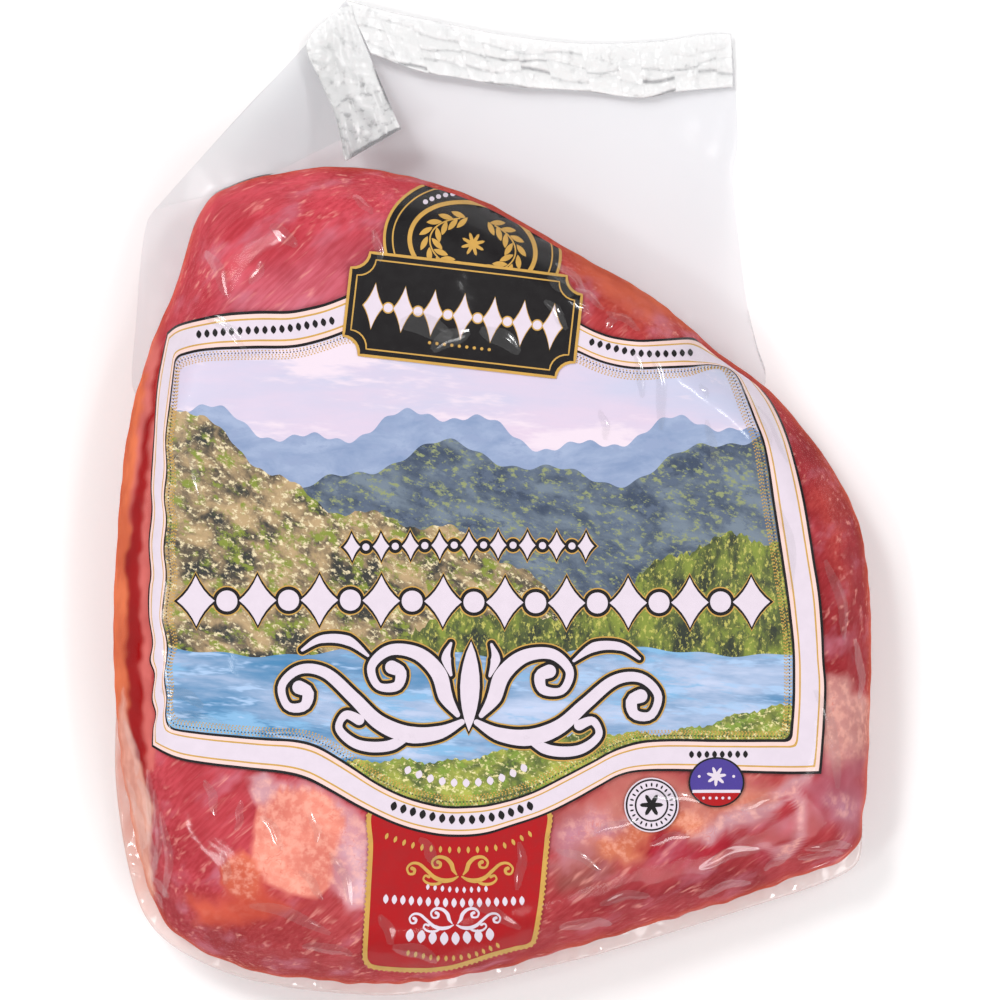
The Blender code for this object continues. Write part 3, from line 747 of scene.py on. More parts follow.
def painted_fields(x, y, z):
    """The meat's colour at these points, and 1 where it is lean and 0 where it is fat."""
    colour = np.tile(np.array(linear(PLAIN_LEAN)), (len(x), 1))
    lean = np.ones(len(x))
    from_below = z - FIELDS_FROM + 3 * ripples(x + y, z, 16, 15)
    upper = smooth_step(0.5 + from_below / FIELDS_OVER)
    below = smooth_step((SIDE_FROM - z) / SIDE_OVER)
    px, py = to_photo(x, y)
    wander_x, wander_y = (
        EDGE_WANDER / PIXEL * (ripples(x, y, 14, seed) + 0.5 * ripples(x, y, 5, seed + 1))
        for seed in (11, 13)
    )
    slant_x, slant_y = (
        SIDE_WANDER / PIXEL * below * ripples(across, z * 1.6, 22, seed)
        for across, seed in ((x + y, 16), (x - y, 17))
    )
    for outline, code, leanness, soft in MEAT_FIELDS:
        loose = min(max(soft / 5, 0.3), 1.0)
        at_x, at_y = px + loose * wander_x + slant_x, py + loose * wander_y + slant_y
        depth = depth_inside(at_x, at_y, outline) * PIXEL
        share = smooth_step(0.5 + depth / (soft + SIDE_SOFTNESS * below)) * upper
        colour += (np.array(linear(code)) - colour) * share[:, None]
        lean += (leanness - lean) * share
    return colour, lean


def meat(flesh, film):
    """The cut, just inside the film that lies on it, with its fields of lean and fat and painted
    light on its rim.
    """
    points = points_of(film)
    outward = normals_of(film)
    quads = [tuple(face.vertices) for face in film.data.polygons]
    piece = new_mesh("brisket", points, quads, [flesh])
    x, y, z = points.T
    level = np.abs(outward[:, 2])
    colour, lean = painted_fields(x, y, z)
    # Painted light: an orange tint on the steep sides near the rim, stronger as the surface turns
    # from upright
    near_rim = np.exp(-(((z - SEAM_PLANE) / RIM_WIDTH) ** 2))
    painted_rim = PAINTED_RIM_SHARE * smooth_step((PAINTED_RIM_LEVEL - level) / PAINTED_RIM_OVER) * near_rim
    colour += (np.array(linear(PAINTED_RIM_LIGHT)) - colour) * painted_rim[:, None]
    add_colour(piece, "flesh", colour)
    add_number(piece, "lean", lean)
    rough = 0.5 + 0.5 * ripples(x * 0.8 + y * 0.6, (y * 0.8 - x * 0.6) * 2.2, 12, 5)
    inset = RIM_INSET + (MEAT_INSET - RIM_INSET + GRAIN_RELIEF * rough) * level
    move_points(piece, points - outward * inset[:, None])
    return piece


FOLD_STEPS, FOLD_COLUMNS = 15, 9
FOLD_BOW, FOLD_WAVER = 0.07, 0.25  # bend of a fold, as a share of its length and in mm
FOLD_TIP, RIDGE_SHARE = 0.3, 0.42  # width of its tips and of its ridge, as shares
FOLD_GAP = 0.02  # between the film and the folds


def film_folds(film, surface):
    """Fine folds that stand up from the tight film: each is a ridge that tapers at its ends."""
    points, quads, total = [], [], 0
    t, across = even(FOLD_STEPS), np.linspace(-1, 1, FOLD_COLUMNS)
    ridge = np.exp(-((across / RIDGE_SHARE) ** 2)) - math.exp(-((1 / RIDGE_SHARE) ** 2))
    taper = np.sin(t * math.pi) ** 0.7
    for first, last, width, height in FOLDS:
        a, b = from_photo([first, last])
        run = b - a
        length = np.hypot(*run)
        side = np.array([-run[1], run[0]]) / length
        bow = FOLD_BOW * length * np.sin(t * math.pi) + FOLD_WAVER * np.sin(t * 9 + first[0])
        path = a + run * t[:, None] + side * bow[:, None]
        p, q = ribbon(path, 2 * width * (FOLD_TIP + (1 - FOLD_TIP) * taper), columns=FOLD_COLUMNS)
        lift = (taper[:, None] * ridge * height * FOLD_LIFT).ravel()
        points.append(surface.on(p, lift + FOLD_GAP))
        quads.append(q + total)
        total += len(p)
    return new_mesh("film_folds", np.vstack(points), np.vstack(quads), [film])


# The neck of the bag


def neck_height(x, y):
    angle = np.arctan2(y - MIDDLE[1], x - MIDDLE[0])
    away = np.hypot(x - MIDDLE[0], y - MIDDLE[1]) - outline_radius(angle)
    away = np.maximum(away, 0)
    fall = np.exp(-((away / NECK_FALL) ** NECK_FALL_SHAPE))
    across = np.sin(x / RIPPLE_ACROSS + np.sin(y / RIPPLE_ALONG))
    along = np.cos(y / RIPPLE_ALONG - x / RIPPLE_ALONG / 2)
    ripple = (0.5 + 0.5 * across * along) * smooth_step(away / RIPPLE_START)
    return NECK_LOW + (SEAM_PLANE - NECK_LOW) * fall + NECK_RIPPLE * ripple


def neck_plan(rows, columns):
    on_fold = round(columns * FOLD_SHARE)
    fold = np.linspace(NECK_LEFT[-1], FOLD_END, on_fold, endpoint=False)
    far = np.vstack([fold, smooth_curve(NECK_TOP, even(columns - on_fold))])
    starts = [np.subtract(p, MIDDLE) for p in (NECK_LEFT[0], NECK_RIGHT[0])]
    first, last = (math.atan2(y, x) for x, y in starts)
    angle = np.linspace(first, last, columns)
    radius = outline_radius(angle) * NECK_TUCK
    near = MIDDLE + np.column_stack([radius * np.cos(angle), radius * np.sin(angle)])
    left, right = smooth_curve(NECK_LEFT, even(rows)), smooth_curve(NECK_RIGHT, even(rows))
    near[0], near[-1] = left[0], right[0]
    s, t = even(rows)[:, None, None], even(columns)[None, :, None]
    across = left[:, None] * (1 - t) + right[:, None] * t
    along = near[None] * (1 - s) + far[None] * s
    low, high = near[0] * (1 - s) * (1 - t) + near[-1] * (1 - s) * t, far[0] * s * (1 - t)
    return across + along - (low + high + far[-1] * s * t)


NECK_GRID, NECK_CRUMPLE, NECK_CLEAR = (60, 110), 0.12, 0.05


def neck(film):
    plan = neck_plan(*NECK_GRID)
    x, y = plan[..., 0], plan[..., 1]
    height = neck_height(x, y) + NECK_CRUMPLE * ripples(x, y, 6, 21)
    height = np.maximum(height, FILM_SHEET / 2 + NECK_CLEAR)
    return sheet("neck_film", plan, height, FILM_SHEET, film)


SEAL_GRID, SEAL_LENGTH = (34, 280), 108.0
SEAL_CREASES, SEAL_JOINTS = 4, 16  # creases along the seal, and breaks in them
SEAL_LIFT, CREASE_DEPTH, SEAL_CRUMPLE = 0.75, 0.4, 0.3


def weld_creases(across, along):
    """Depth, 0 to 1, of the long broken creases in the heat seal and of the steps in them."""
    draw = np.random.default_rng(33)
    joints = np.cumsum(draw.uniform(5, 13, SEAL_JOINTS))
    block = np.searchsorted(joints, along[0])
    shift = draw.uniform(-0.28, 0.28, (SEAL_CREASES + 1, SEAL_JOINTS + 1))
    strength = draw.uniform(0.2, 1.2, (SEAL_CREASES + 1, SEAL_JOINTS + 1))
    depth = np.zeros(np.broadcast_shapes(across.shape, along.shape))
    for row in range(SEAL_CREASES + 1):
        bend = shift[row, block] + 0.22 * np.sin(along[0] / 4 + row * 1.7)
        off = across * SEAL_CREASES - row - bend[None, :]
        width = 0.1 + 0.08 * draw.random()
        fade = strength[row, block] * (0.35 + 0.65 * smooth_step(row / SEAL_CREASES))
        depth = np.maximum(depth, np.exp(-((off / width) ** 2)) * fade[None, :])
    nearest = np.min(np.abs(along[0][:, None] - joints[None, :]), axis=1)
    steps = 0.3 * np.exp(-((nearest / 0.35) ** 2))[None, :] * (across > 0.2)
    return np.maximum(depth, steps)


def heat_seal(film):
    rows, columns = SEAL_GRID
    outer, inner = (smooth_curve(edge, even(columns)) for edge in (NECK_TOP, SEAL_INNER))
    plan = between(outer, inner, rows)
    x, y = plan[..., 0], plan[..., 1]
    across = even(rows)[:, None] + 0.02 * np.sin(x / 5)
    crease_and_shade = weld_creases(across, SEAL_LENGTH * even(columns)[None, :])
    lift = SEAL_LIFT + CREASE_DEPTH * (1 - crease_and_shade) + SEAL_CRUMPLE * ripples(x, y, 4.5, 31)
    piece = sheet("heat_seal", plan, neck_height(x, y) + lift, FILM_SHEET, film)
    # Painted shade in grey patches where the seal crumples, and along its creases
    broad, fine = smooth_step(ripples(x, y, 9, 32) - 0.1), smooth_step(ripples(x, y, 3, 34) + 0.4)
    crumple_shade = 0.35 * broad * fine
    add_number(piece, "crease_and_shade", np.tile(np.maximum(crease_and_shade, crumple_shade).ravel(), 2))
    return piece


STRIP_GRID, STRIP_LIFT, STRIP_CURL, STRIP_BUCKLE = (100, 44), 1.3, 6.0, 0.6
STRIP_CRUMPLE = ((0.4, 6, 41), (0.2, 3, 42))  # height and length in mm, and seed


def folded_seal_end(film):
    """The corner's piece of the seal, folded down over the neck and curling up at its end."""
    rows, columns = STRIP_GRID
    left, right = (smooth_curve(edge, even(rows)) for edge in (STRIP_LEFT, STRIP_RIGHT))
    plan = between(left, right, columns).transpose(1, 0, 2)
    x, y = plan[..., 0], plan[..., 1]
    along, across = even(rows)[:, None], even(columns)[None, :]
    curl = STRIP_CURL * along**2 * (1 + 2 * across) / 3
    buckle = STRIP_BUCKLE * along * np.sin(3 * math.pi * along + math.pi * across)
    drawn_x, drawn_y = 1.6 * x + 0.6 * y, 0.7 * y - 0.3 * x
    crumple = sum(
        height * ripples(*place, length, seed)
        for place, (height, length, seed) in zip(((drawn_x, drawn_y), (x, y)), STRIP_CRUMPLE)
    )
    height = neck_height(x, y) + STRIP_LIFT + curl + buckle + crumple
    piece = sheet("folded_seal_end", plan, height, FILM_SHEET, film)
    # Painted shade: grey towards the end, which tilts away from the light, and in streaks, with
    # painted glints and a dark edge painted where the curl turns under
    painted_shade = 0.12 + 0.22 * smooth_step(along * 1.5 - 0.2)
    painted_shade = painted_shade + 0.3 * smooth_step((along - 0.6) / 0.4) * (1 - across)
    painted_shade = painted_shade + 0.13 * ripples(drawn_x, drawn_y, 7, 44)
    glint = np.exp(-((ripples(drawn_x * 1.1, drawn_y * 0.35, 5, 43) / 0.07) ** 2))
    painted_shade = painted_shade - 0.6 * glint * smooth_step(ripples(x, y, 8, 46) + 0.5)
    uneven = 0.45 + 0.55 * np.sin(along * 11 + 0.6)
    edge = smooth_step((across - 0.94) / 0.06) * smooth_step((along - 0.25) / 0.15) * uneven
    edge = np.maximum(edge, smooth_step((along - 0.965) / 0.035) * smooth_step(across * 3))
    add_number(piece, "crease_and_shade", np.tile(np.clip(painted_shade + 1.2 * edge, 0, 1.5).ravel(), 2))
    return piece


FLAP_STEPS, FLAP_LIFT, FLAP_RISE, FLAP_CRUMPLE = 40, 0.7, 1.2, 0.1


def folded_corner(film):
    start, fold_end, strip_end, free = (np.array(c) for c in FLAP_CORNERS)
    s, t = even(FLAP_STEPS)[:, None, None], FLAP_SHOWN * even(FLAP_STEPS)[None, :, None]
    plan = (start * (1 - s) + fold_end * s) * (1 - t) + (free * (1 - s) + strip_end * s) * t
    x, y = plan[..., 0], plan[..., 1]
    rise = FLAP_RISE * (t * s)[..., 0]
    height = neck_height(x, y) + FLAP_LIFT + rise + FLAP_CRUMPLE * ripples(x, y, 7, 45)
    return sheet("folded_corner", plan, height, FILM_SHEET, film)


SEAM_GRID, SEAM_CRUMPLE = (10, 240), 0.35
JUICE_END, JUICE_OVER = 0.28, 0.14  # shares of the seam, from its left end


def lower_seam(film):
    rows, columns = SEAM_GRID
    outer = smooth_curve(SEAM_EDGE, even(columns))
    inner = np.array(MIDDLE) + (outer - MIDDLE) * SEAM_ROOT
    plan = between(outer, inner, rows)
    x, y = plan[..., 0], plan[..., 1]
    along, inward = even(columns)[None, :], even(rows)[:, None]
    wave = SEAM_WAVE * np.sin(TURN * SEAM_WAVES * along) * (1 - inward)
    height = SEAM_HEIGHT + wave + SEAM_CRUMPLE * (1 - inward) * ripples(x, y, 5, 51)
    piece = sheet("lower_seam", plan, height, FILM_SHEET, film)
    near = smooth_step((JUICE_END - along) / JUICE_OVER)
    juice = near * (0.8 + 0.2 * ripples(x, y, 7, 52))
    add_number(piece, "juice", np.tile(np.clip(juice, 0, 1).ravel(), 2))
    return piece


# Print on the film


class Surface:
    """The film's upper face, for things to be laid on."""

    def __init__(self, film):
        faces = [tuple(face.vertices) for face in film.data.polygons]
        self.tree = BVHTree.FromPolygons(points_of(film).tolist(), faces)

    def on(self, points, lift):
        """Points in plan, brought inside the outline and lifted off the film along its normal."""
        p = np.array(points, float)[:, :2]
        off = p - MIDDLE
        angle = np.arctan2(off[:, 1], off[:, 0])
        limit = WRAP_LIMIT * outline_radius(angle)
        share = np.minimum(1, limit / np.maximum(np.hypot(off[:, 0], off[:, 1]), 1e-6))
        p = MIDDLE + off * share[:, None]
        down = Vector((0, 0, -1))
        hits = [self.tree.ray_cast(Vector((a, b, 90.0)), down)[:2] for a, b in p]
        place = np.array([tuple(hit[0]) for hit in hits])
        normal = np.array([tuple(hit[1]) for hit in hits])
        return place + normal * np.broadcast_to(lift, len(p))[:, None]


def inside(points, outline):
    """Which points lie inside a closed outline."""
    x, y = points.T
    result = np.zeros(len(points), bool)
    for (ax, ay), (bx, by) in zip(outline, np.roll(outline, -1, axis=0)):
        crosses = (ay > y) != (by > y)
        result ^= crosses & (x < (bx - ax) * (y - ay) / (by - ay + 1e-12) + ax)
    return result


GRID_CLEAR = 0.4  # share of a cell that a fill's inner points keep off its edges


def fill(outline, cell, lines=()):
    """Triangles over a closed outline, about a cell across, whose edges follow the lines."""
    outline = np.asarray(outline, float)
    low, high = outline.min(0), outline.max(0)
    gx, gy = np.meshgrid(np.arange(low[0], high[0], cell), np.arange(low[1], high[1], cell * 0.87))
    gx = gx + (np.arange(gx.shape[0]) % 2)[:, None] * cell / 2
    grid = np.column_stack([gx.ravel(), gy.ravel()])
    grid = grid[inside(grid, outline)]
    points, edges = [*outline], [(i, (i + 1) % len(outline)) for i in range(len(outline))]
    for line in lines:
        start = len(points)
        points += [*line]
        edges += [(start + i, start + i + 1) for i in range(len(line) - 1)]
    drawn = np.array(points)
    if len(grid):
        off = grid[:, None] - drawn
        gap = np.min(np.hypot(off[..., 0], off[..., 1]), axis=1)
        points += [*grid[gap > cell * GRID_CLEAR]]
    verts, _, faces, *_ = delaunay_2d_cdt([Vector(p) for p in points], edges, [], 1, 1e-5)
    verts = np.array([tuple(v) for v in verts])
    faces = np.array(faces)
    a, b, c = (verts[faces[:, k]] for k in range(3))
    turned = np.cross(b - a, c - a) < 0
    faces[turned] = faces[turned][:, ::-1]
    return verts, faces


def frame_loops():
    """The frame's outer and inner edge, the inner one with rounded corners."""
    loops = []
    for which in (0, 1):
        runs = [smooth_curve(s[which], even(s[2] + 1))[:-1] for s in FRAME_SECTIONS]
        loops.append(from_photo(np.vstack(runs)))
    near = [np.roll(loops[1], step, axis=0) for step in range(-2, 3)]
    return loops[0], sum(near) / len(near)


def ribbon(path, widths, columns=3, closed=False):
    """Points and quads of a stroke along a path, with its width at each point."""
    path = np.asarray(path, float)
    ahead = np.roll(path, -1, axis=0) - np.roll(path, 1, axis=0)
    if not closed:
        ahead[0], ahead[-1] = path[1] - path[0], path[-1] - path[-2]
    ahead /= np.maximum(np.linalg.norm(ahead, axis=1), 1e-9)[:, None]
    side = np.column_stack([-ahead[:, 1], ahead[:, 0]])
    widths = np.broadcast_to(np.asarray(widths, float), len(path))
    offsets = np.linspace(0.5, -0.5, columns)
    points = path[:, None] + side[:, None] * (offsets[None, :, None] * widths[:, None, None])
    n = len(path)
    index = np.arange(n * columns).reshape(n, columns)
    if closed:
        index = np.vstack([index, index[:1]])
    quads = np.stack([index[:-1, :-1], index[:-1, 1:], index[1:, 1:], index[1:, :-1]], -1)
    return points.reshape(-1, 2), quads.reshape(-1, 4)


def printed_frame(press):
    outer, inner = frame_loops()
    shares = [FRAME_INKS[0][0]] + [band[1] for band in FRAME_INKS]
    names = sorted({band[2] for band in FRAME_INKS})
    n = len(outer)
    points = np.vstack([outer * (1 - s) + inner * s for s in shares])
    index = np.arange(n * len(shares)).reshape(len(shares), n)
    index = np.column_stack([index, index[:, 0]])
    quads, ink = [], []
    for row, band in enumerate(FRAME_INKS):
        a, b = index[row], index[row + 1]
        quads.append(np.stack([a[:-1], a[1:], b[1:], b[:-1]], -1))
        ink += [names.index(band[2])] * n
    press.lay("printed_frame", points, np.vstack(quads)[:, ::-1], names, 2, ink)


# Ridges of the printed scene from back to front, in pixels: ink, height at the middle,
# fall to the right, its waves as height, length and phase, and the height of its treetops
RIDGES = (
    ("far_hills", 430, 0.03, ((16, 260, 0.4), (7, 90, 1.9), (2, 23, 0.2)), 0),
    ("slate_hills", 466, -0.05, ((20, 330, 2.6), (8, 120, 0.3), (2, 31, 1.0)), 0),
    ("left_fields", 560, 0.46, ((16, 300, 1.2), (6, 80, 0.5), (1.5, 19, 0.0)), 1),
    ("right_woods", 622, -0.28, ((15, 260, 0.2), (6, 70, 2.2), (2, 15, 0.7)), 5),
    ("lake", 652, 0.0, ((4, 240, 0.9), (1.5, 60, 0.1)), 0),
    ("near_meadow", 752, -0.13, ((6, 210, 0.3), (2, 47, 1.2), (1, 9, 0.0)), 2),
)


SCENE_UNDER_FRAME = 0.05  # share of the frame's width that the scene goes under it
SCENE_COLUMNS = (150.0, 812.0, 2.5)  # first, last and step of the ridges' points, in pixels


def ridge_height(ridge, x):
    """Height in the photograph, in pixels from its top, of a ridge at these columns."""
    _, middle, fall, waves, trees = ridge
    y = middle + fall * (x - 480.0)
    for height, length, phase in waves:
        y = y + height * np.sin(TURN * x / length + phase)
    crown = np.abs((x / 7.5 + 0.3 * np.sin(x / 11)) % 1.0 - 0.5)
    return y + trees * (crown - 0.5) * (1.2 + np.sin(x / 9.0))


def printed_scene(press):
    """Hills round a lake, as flat fields of ink, inside the frame."""
    outer, inner = frame_loops()
    edge = outer * SCENE_UNDER_FRAME + inner * (1 - SCENE_UNDER_FRAME)
    columns = np.arange(*SCENE_COLUMNS)
    lines = [from_photo(np.column_stack([columns, ridge_height(r, columns)])) for r in RIDGES]
    points, faces = fill(edge, FIELD_CELL, lines)
    middles = points[faces].mean(1)
    px, py = to_photo(*middles.T)
    ink = np.zeros(len(faces), int)
    for number, ridge in enumerate(RIDGES, 1):
        ink[py > ridge_height(ridge, px)] = number
    names = ["sky"] + [r[0] for r in RIDGES]
    press.lay("printed_scene", points, faces, names, 0, ink)


# Ornaments


def oval(width, height, count=28):
    angle = np.linspace(0, TURN, count, endpoint=False)
    return np.column_stack([np.cos(angle) * width / 2, np.sin(angle) * height / 2])


def lozenge(width, height, pinch=0.72):
    """A four-pointed figure whose sides curve in."""
    corners = np.array([(width / 2, 0), (0, height / 2), (-width / 2, 0), (0, -height / 2)])
    points = []
    for a, b in zip(corners, np.roll(corners, -1, axis=0)):
        bend = (a + b) / 2 * pinch
        for t in (0.0, 0.25, 0.5, 0.75):
            points.append((1 - t) ** 2 * a + 2 * t * (1 - t) * bend + t * t * b)
    return np.array(points)


def leaf(length, width):
    t = even(9)
    half = width / 2 * np.sin(math.pi * t) ** 0.8
    upper = np.column_stack([(t - 0.5) * length, half])
    return np.vstack([upper, upper[-2:0:-1] * (1, -1)])


def motif_tree():
    """Geometry nodes that set a motif at even steps along a line, turned to follow it."""
    tree = bpy.data.node_groups.new("motifs along a line", "GeometryNodeTree")
    sockets = (
        ("Line", "NodeSocketGeometry"), ("Motif", "NodeSocketObject"), ("Count", "NodeSocketInt"),
        ("Size", "NodeSocketFloat"), ("Turn", "NodeSocketFloat"), ("Ink", "NodeSocketMaterial"),
    )
    for name, kind in sockets:
        tree.interface.new_socket(name, in_out="INPUT", socket_type=kind)
    tree.interface.new_socket("Print", in_out="OUTPUT", socket_type="NodeSocketGeometry")
    given = add(tree, "NodeGroupInput").outputs
    line = {"Curve": given["Line"], "Count": given["Count"]}
    ahead = add(tree, "GeometryNodeInputTangent")
    facing = add(tree, "FunctionNodeAlignRotationToVector", {"Vector": ahead}, axis="X",
                 pivot_axis="Z")
    spin = {"Axis": (0, 0, 1), "Angle": given["Turn"]}
    spin = add(tree, "FunctionNodeAxisAngleToRotation", spin)
    turned = add(tree, "FunctionNodeRotateRotation", {"Rotation": facing, "Rotate By": spin},
                 rotation_space="LOCAL")
    motif = add(tree, "GeometryNodeObjectInfo", {"Object": given["Motif"]})
    placed = add(tree, "GeometryNodeInstanceOnPoints", {
        "Points": add(tree, "GeometryNodeResampleCurve", line),
        "Instance": motif.outputs["Geometry"], "Rotation": turned, "Scale": given["Size"],
    })
    real = add(tree, "GeometryNodeRealizeInstances", {"Geometry": placed})
    inked = {"Geometry": real, "Material": given["Ink"]}
    add(tree, "NodeGroupOutput", {"Print": add(tree, "GeometryNodeSetMaterial", inked)})
    return tree


class Press:
    """Prints under the film. It knows the film's surface and keeps its inks and what it prints."""

    def __init__(self, surface):
        self.surface = surface
        self.inks = inks()
        self.motifs = motif_tree()
        self.printed = []

    def under_film(self, points, layer):
        return self.surface.on(points, layer * LAYER - PRINT_DEPTH)

    def lay(self, name, points, faces, names, layer, ink=None):
        """Faces in the named inks. ink gives the number of each face's own."""
        made = [self.inks[n] for n in names]
        self.printed.append(new_mesh(name, self.under_film(points, layer), faces, made, ink))

    def field(self, name, outline, cell, ink, layer):
        """One ink all over a closed outline."""
        self.lay(name, *fill(outline, cell), [ink], layer)

    def line(self, name, path, width, ink, layer, closed=False):
        """An even line along a path."""
        self.lay(name, *ribbon(path, width, columns=2, closed=closed), [ink], layer)

    def row(self, name, path, outline, count, ink, layer, turn=0.0, size=1.0, closed=False,
            cell=MOTIF_CELL):
        """A row of one motif along a path, from the geometry nodes, as a plain mesh."""
        corners, faces = fill(outline, cell)
        motif = new_mesh("motif", np.column_stack([corners, np.zeros(len(corners))]), faces, [])
        curve = bpy.data.curves.new(name + "_line", "CURVE")
        curve.dimensions = "3D"
        spline = curve.splines.new("POLY")
        spline.points.add(len(path) - 1)
        flat = np.column_stack([np.asarray(path) * MM, np.zeros(len(path)), np.ones(len(path))])
        spline.points.foreach_set("co", flat.ravel())
        spline.use_cyclic_u = closed
        line = bpy.data.objects.new(name + "_line", curve)
        bpy.context.scene.collection.objects.link(line)
        modifier = line.modifiers.new("motifs", "NODES")
        modifier.node_group = self.motifs
        values = {"Motif": motif, "Count": count, "Size": size, "Turn": turn,
                  "Ink": self.inks[ink]}
        for socket in self.motifs.interface.items_tree:
            if socket.in_out == "INPUT" and socket.name in values:
                modifier[socket.identifier] = values[socket.name]
        graph = bpy.context.evaluated_depsgraph_get()
        mesh = bpy.data.meshes.new_from_object(line.evaluated_get(graph))
        mesh.name = name
        bpy.data.objects.remove(line)
        bpy.data.objects.remove(motif)
        piece = bpy.data.objects.new(name, mesh)
        bpy.context.scene.collection.objects.link(piece)
        move_points(piece, self.under_film(points_of(piece), layer))
        self.printed.append(piece)

    def white_row(self, name, path, shape, size, count, layer, rim=WHITE_RIM):
        """A row of white motifs, with a black rim if any, and a thin gold contour round that."""
        width, height = size
        coats = [("gold", rim + CONTOUR)] + ([("black", rim)] if rim else []) + [("white", 0.0)]
        for above, (ink, grow) in enumerate(coats, 1):
            outline = shape(width + 2 * grow, height + 2 * grow)
            self.row(f"{name}_{ink}", path, outline, count, ink, layer + above)


# Half of the large flourish, from its middle, in mm: control points and widths of each stroke
STROKES = (
    (((2.0, -7.5), (8, -10.5), (16, -11.2), (24, -8.2), (31, -1.8), (38.5, 4.6), (45.5, 5.4),
      (50.2, 1.0), (48.6, -4.4), (44.2, -4.4), (43.2, -0.8), (45.6, 0.6)),
     (1.6, 3.6, 4.4, 4.2, 3.6, 3.2, 3.0, 2.6, 2.2, 2.0, 2.6, 3.6)),
    (((3.2, -5.6), (6.4, -1.0), (8.6, 5.4), (14.2, 10.4), (21.6, 11.2), (26.4, 6.8), (24.6, 1.6),
      (19.6, 1.6), (18.6, 5.2), (21.0, 6.6)),
     (1.4, 3.8, 4.2, 3.8, 3.2, 2.8, 2.2, 2.0, 2.6, 3.6)),
    (((14.5, -10.8), (21.5, -14.4), (29.5, -14.2), (34.6, -10.2), (33.0, -6.4), (29.4, -7.6)),
     (1.0, 2.8, 2.8, 2.4, 1.8, 2.8)),
    (((27.5, 9.6), (33.0, 13.4), (40.0, 13.6), (45.0, 10.6)), (0.8, 2.6, 2.2, 0.8)),
    (((5.2, 5.0), (6.6, 9.6), (5.4, 13.4)), (0.8, 2.6, 0.7)),
)
FLOURISH = ((470, 694), -1.5)  # its middle in pixels and its turn in degrees
FLOURISH_COATS = (("gold", 2.4), ("black", 1.7), ("white", 0.0))  # each ink's spread in mm
FLOURISH_LEAF, LEAF_RAISED = (24.0, 5.2), 2.0
UPRIGHT = np.array([[0, 1], [-1, 0]])


def round_ends(path, width):
    """The path drawn out at both ends by half its width, with widths that round it off."""
    turn = np.linspace(0.15, 1, 6) * math.pi / 2
    first, last = path[0] - path[1], path[-1] - path[-2]
    before = path[0] + first / np.linalg.norm(first) * (width[0] / 2 * np.sin(turn))[::-1, None]
    after = path[-1] + last / np.linalg.norm(last) * (width[-1] / 2 * np.sin(turn))[:, None]
    widths = np.concatenate([(width[0] * np.cos(turn))[::-1], width, width[-1] * np.cos(turn)])
    return np.vstack([before, path, after]), np.maximum(widths, 0.04)


def strokes(coat, scale=1.0, which=slice(None)):
    """Points and quads of the flourish, each stroke widened by a coat's width all round."""
    points, quads, total = [], [], 0
    for controls, widths in STROKES[which]:
        path = smooth_curve(controls, even(72))
        width = np.interp(even(72), even(len(widths)), widths) + coat
        path, width = round_ends(path, width)
        for mirror in (1, -1):
            p, q = ribbon(path * (mirror, 1), width)
            points.append(p * scale)
            quads.append((q if mirror == 1 else q[:, ::-1]) + total)
            total += len(p)
    return np.vstack(points), np.vstack(quads)


def turned_about(points, middle, degrees):
    angle = math.radians(degrees)
    spin = np.array([[math.cos(angle), math.sin(angle)], [-math.sin(angle), math.cos(angle)]])
    return np.asarray(points) @ spin + middle


def set_at(points, spot, raised=0.0):
    """Points in mm about an ornament's middle, brought to its place in the photograph."""
    pixel, degrees = spot
    return turned_about(points, from_photo([pixel])[0] + (0, raised), degrees)


def flourish(press):
    """A scrolled ornament, mirrored about a leaf, in white with black and gold edges."""
    length, width = FLOURISH_LEAF
    for layer, (ink, coat) in enumerate(FLOURISH_COATS, 3):
        points, quads = strokes(coat)
        press.lay(f"flourish_{ink}", set_at(points, FLOURISH), quads, [ink], layer)
        stem = leaf(length + coat, width + coat) @ UPRIGHT
        press.field(f"flourish_leaf_{ink}", set_at(stem, FLOURISH, LEAF_RAISED), 1.6, ink, layer)


def closer(points, step=1.2):
    """The closed line with points added on its long straight sides."""
    result = []
    for a, b in zip(points, np.roll(points, -1, axis=0)):
        count = max(1, round(math.dist(a, b) / step))
        result += [a + (b - a) * k / count for k in range(count)]
    return np.array(result)


def plate_outline(width, height, notch, steps=7):
    """A rectangle whose corners are cut back in quarter circles."""
    points = []
    for turn, (sx, sy) in enumerate(((1, 1), (-1, 1), (-1, -1), (1, -1))):
        corner = np.array([sx * width / 2, sy * height / 2])
        first = math.pi * (1.5 + 0.5 * turn)
        for t in np.linspace(0, 1, steps):
            angle = first - t * math.pi / 2
            points.append(corner + notch * np.array([math.cos(angle), math.sin(angle)]))
    return closer(np.array(points))


# Cartouche: middle in pixels and turn in degrees
MEDALLION = ((473, 245), -11)
NAME_PLATE = ((463, 315), -6.5)
WREATH_SWEEP, WREATH_SIZE = (-84, 66), (11.6, 7.4)
WREATH_ROWS = ((0.6, 1.14, "outer"), (-0.6, 0.84, "inner"))  # turn and size of each row of leaves
POINT = (-0.01, 0.01)  # a line this short holds one motif


def arc(sweep, size, count):
    """Points on an oval's edge, from one angle in degrees to another."""
    angle = np.radians(np.linspace(*sweep, count))
    return np.column_stack([np.cos(angle), np.sin(angle)]) * size


def level_line(ends, height):
    return [(x, height) for x in ends]


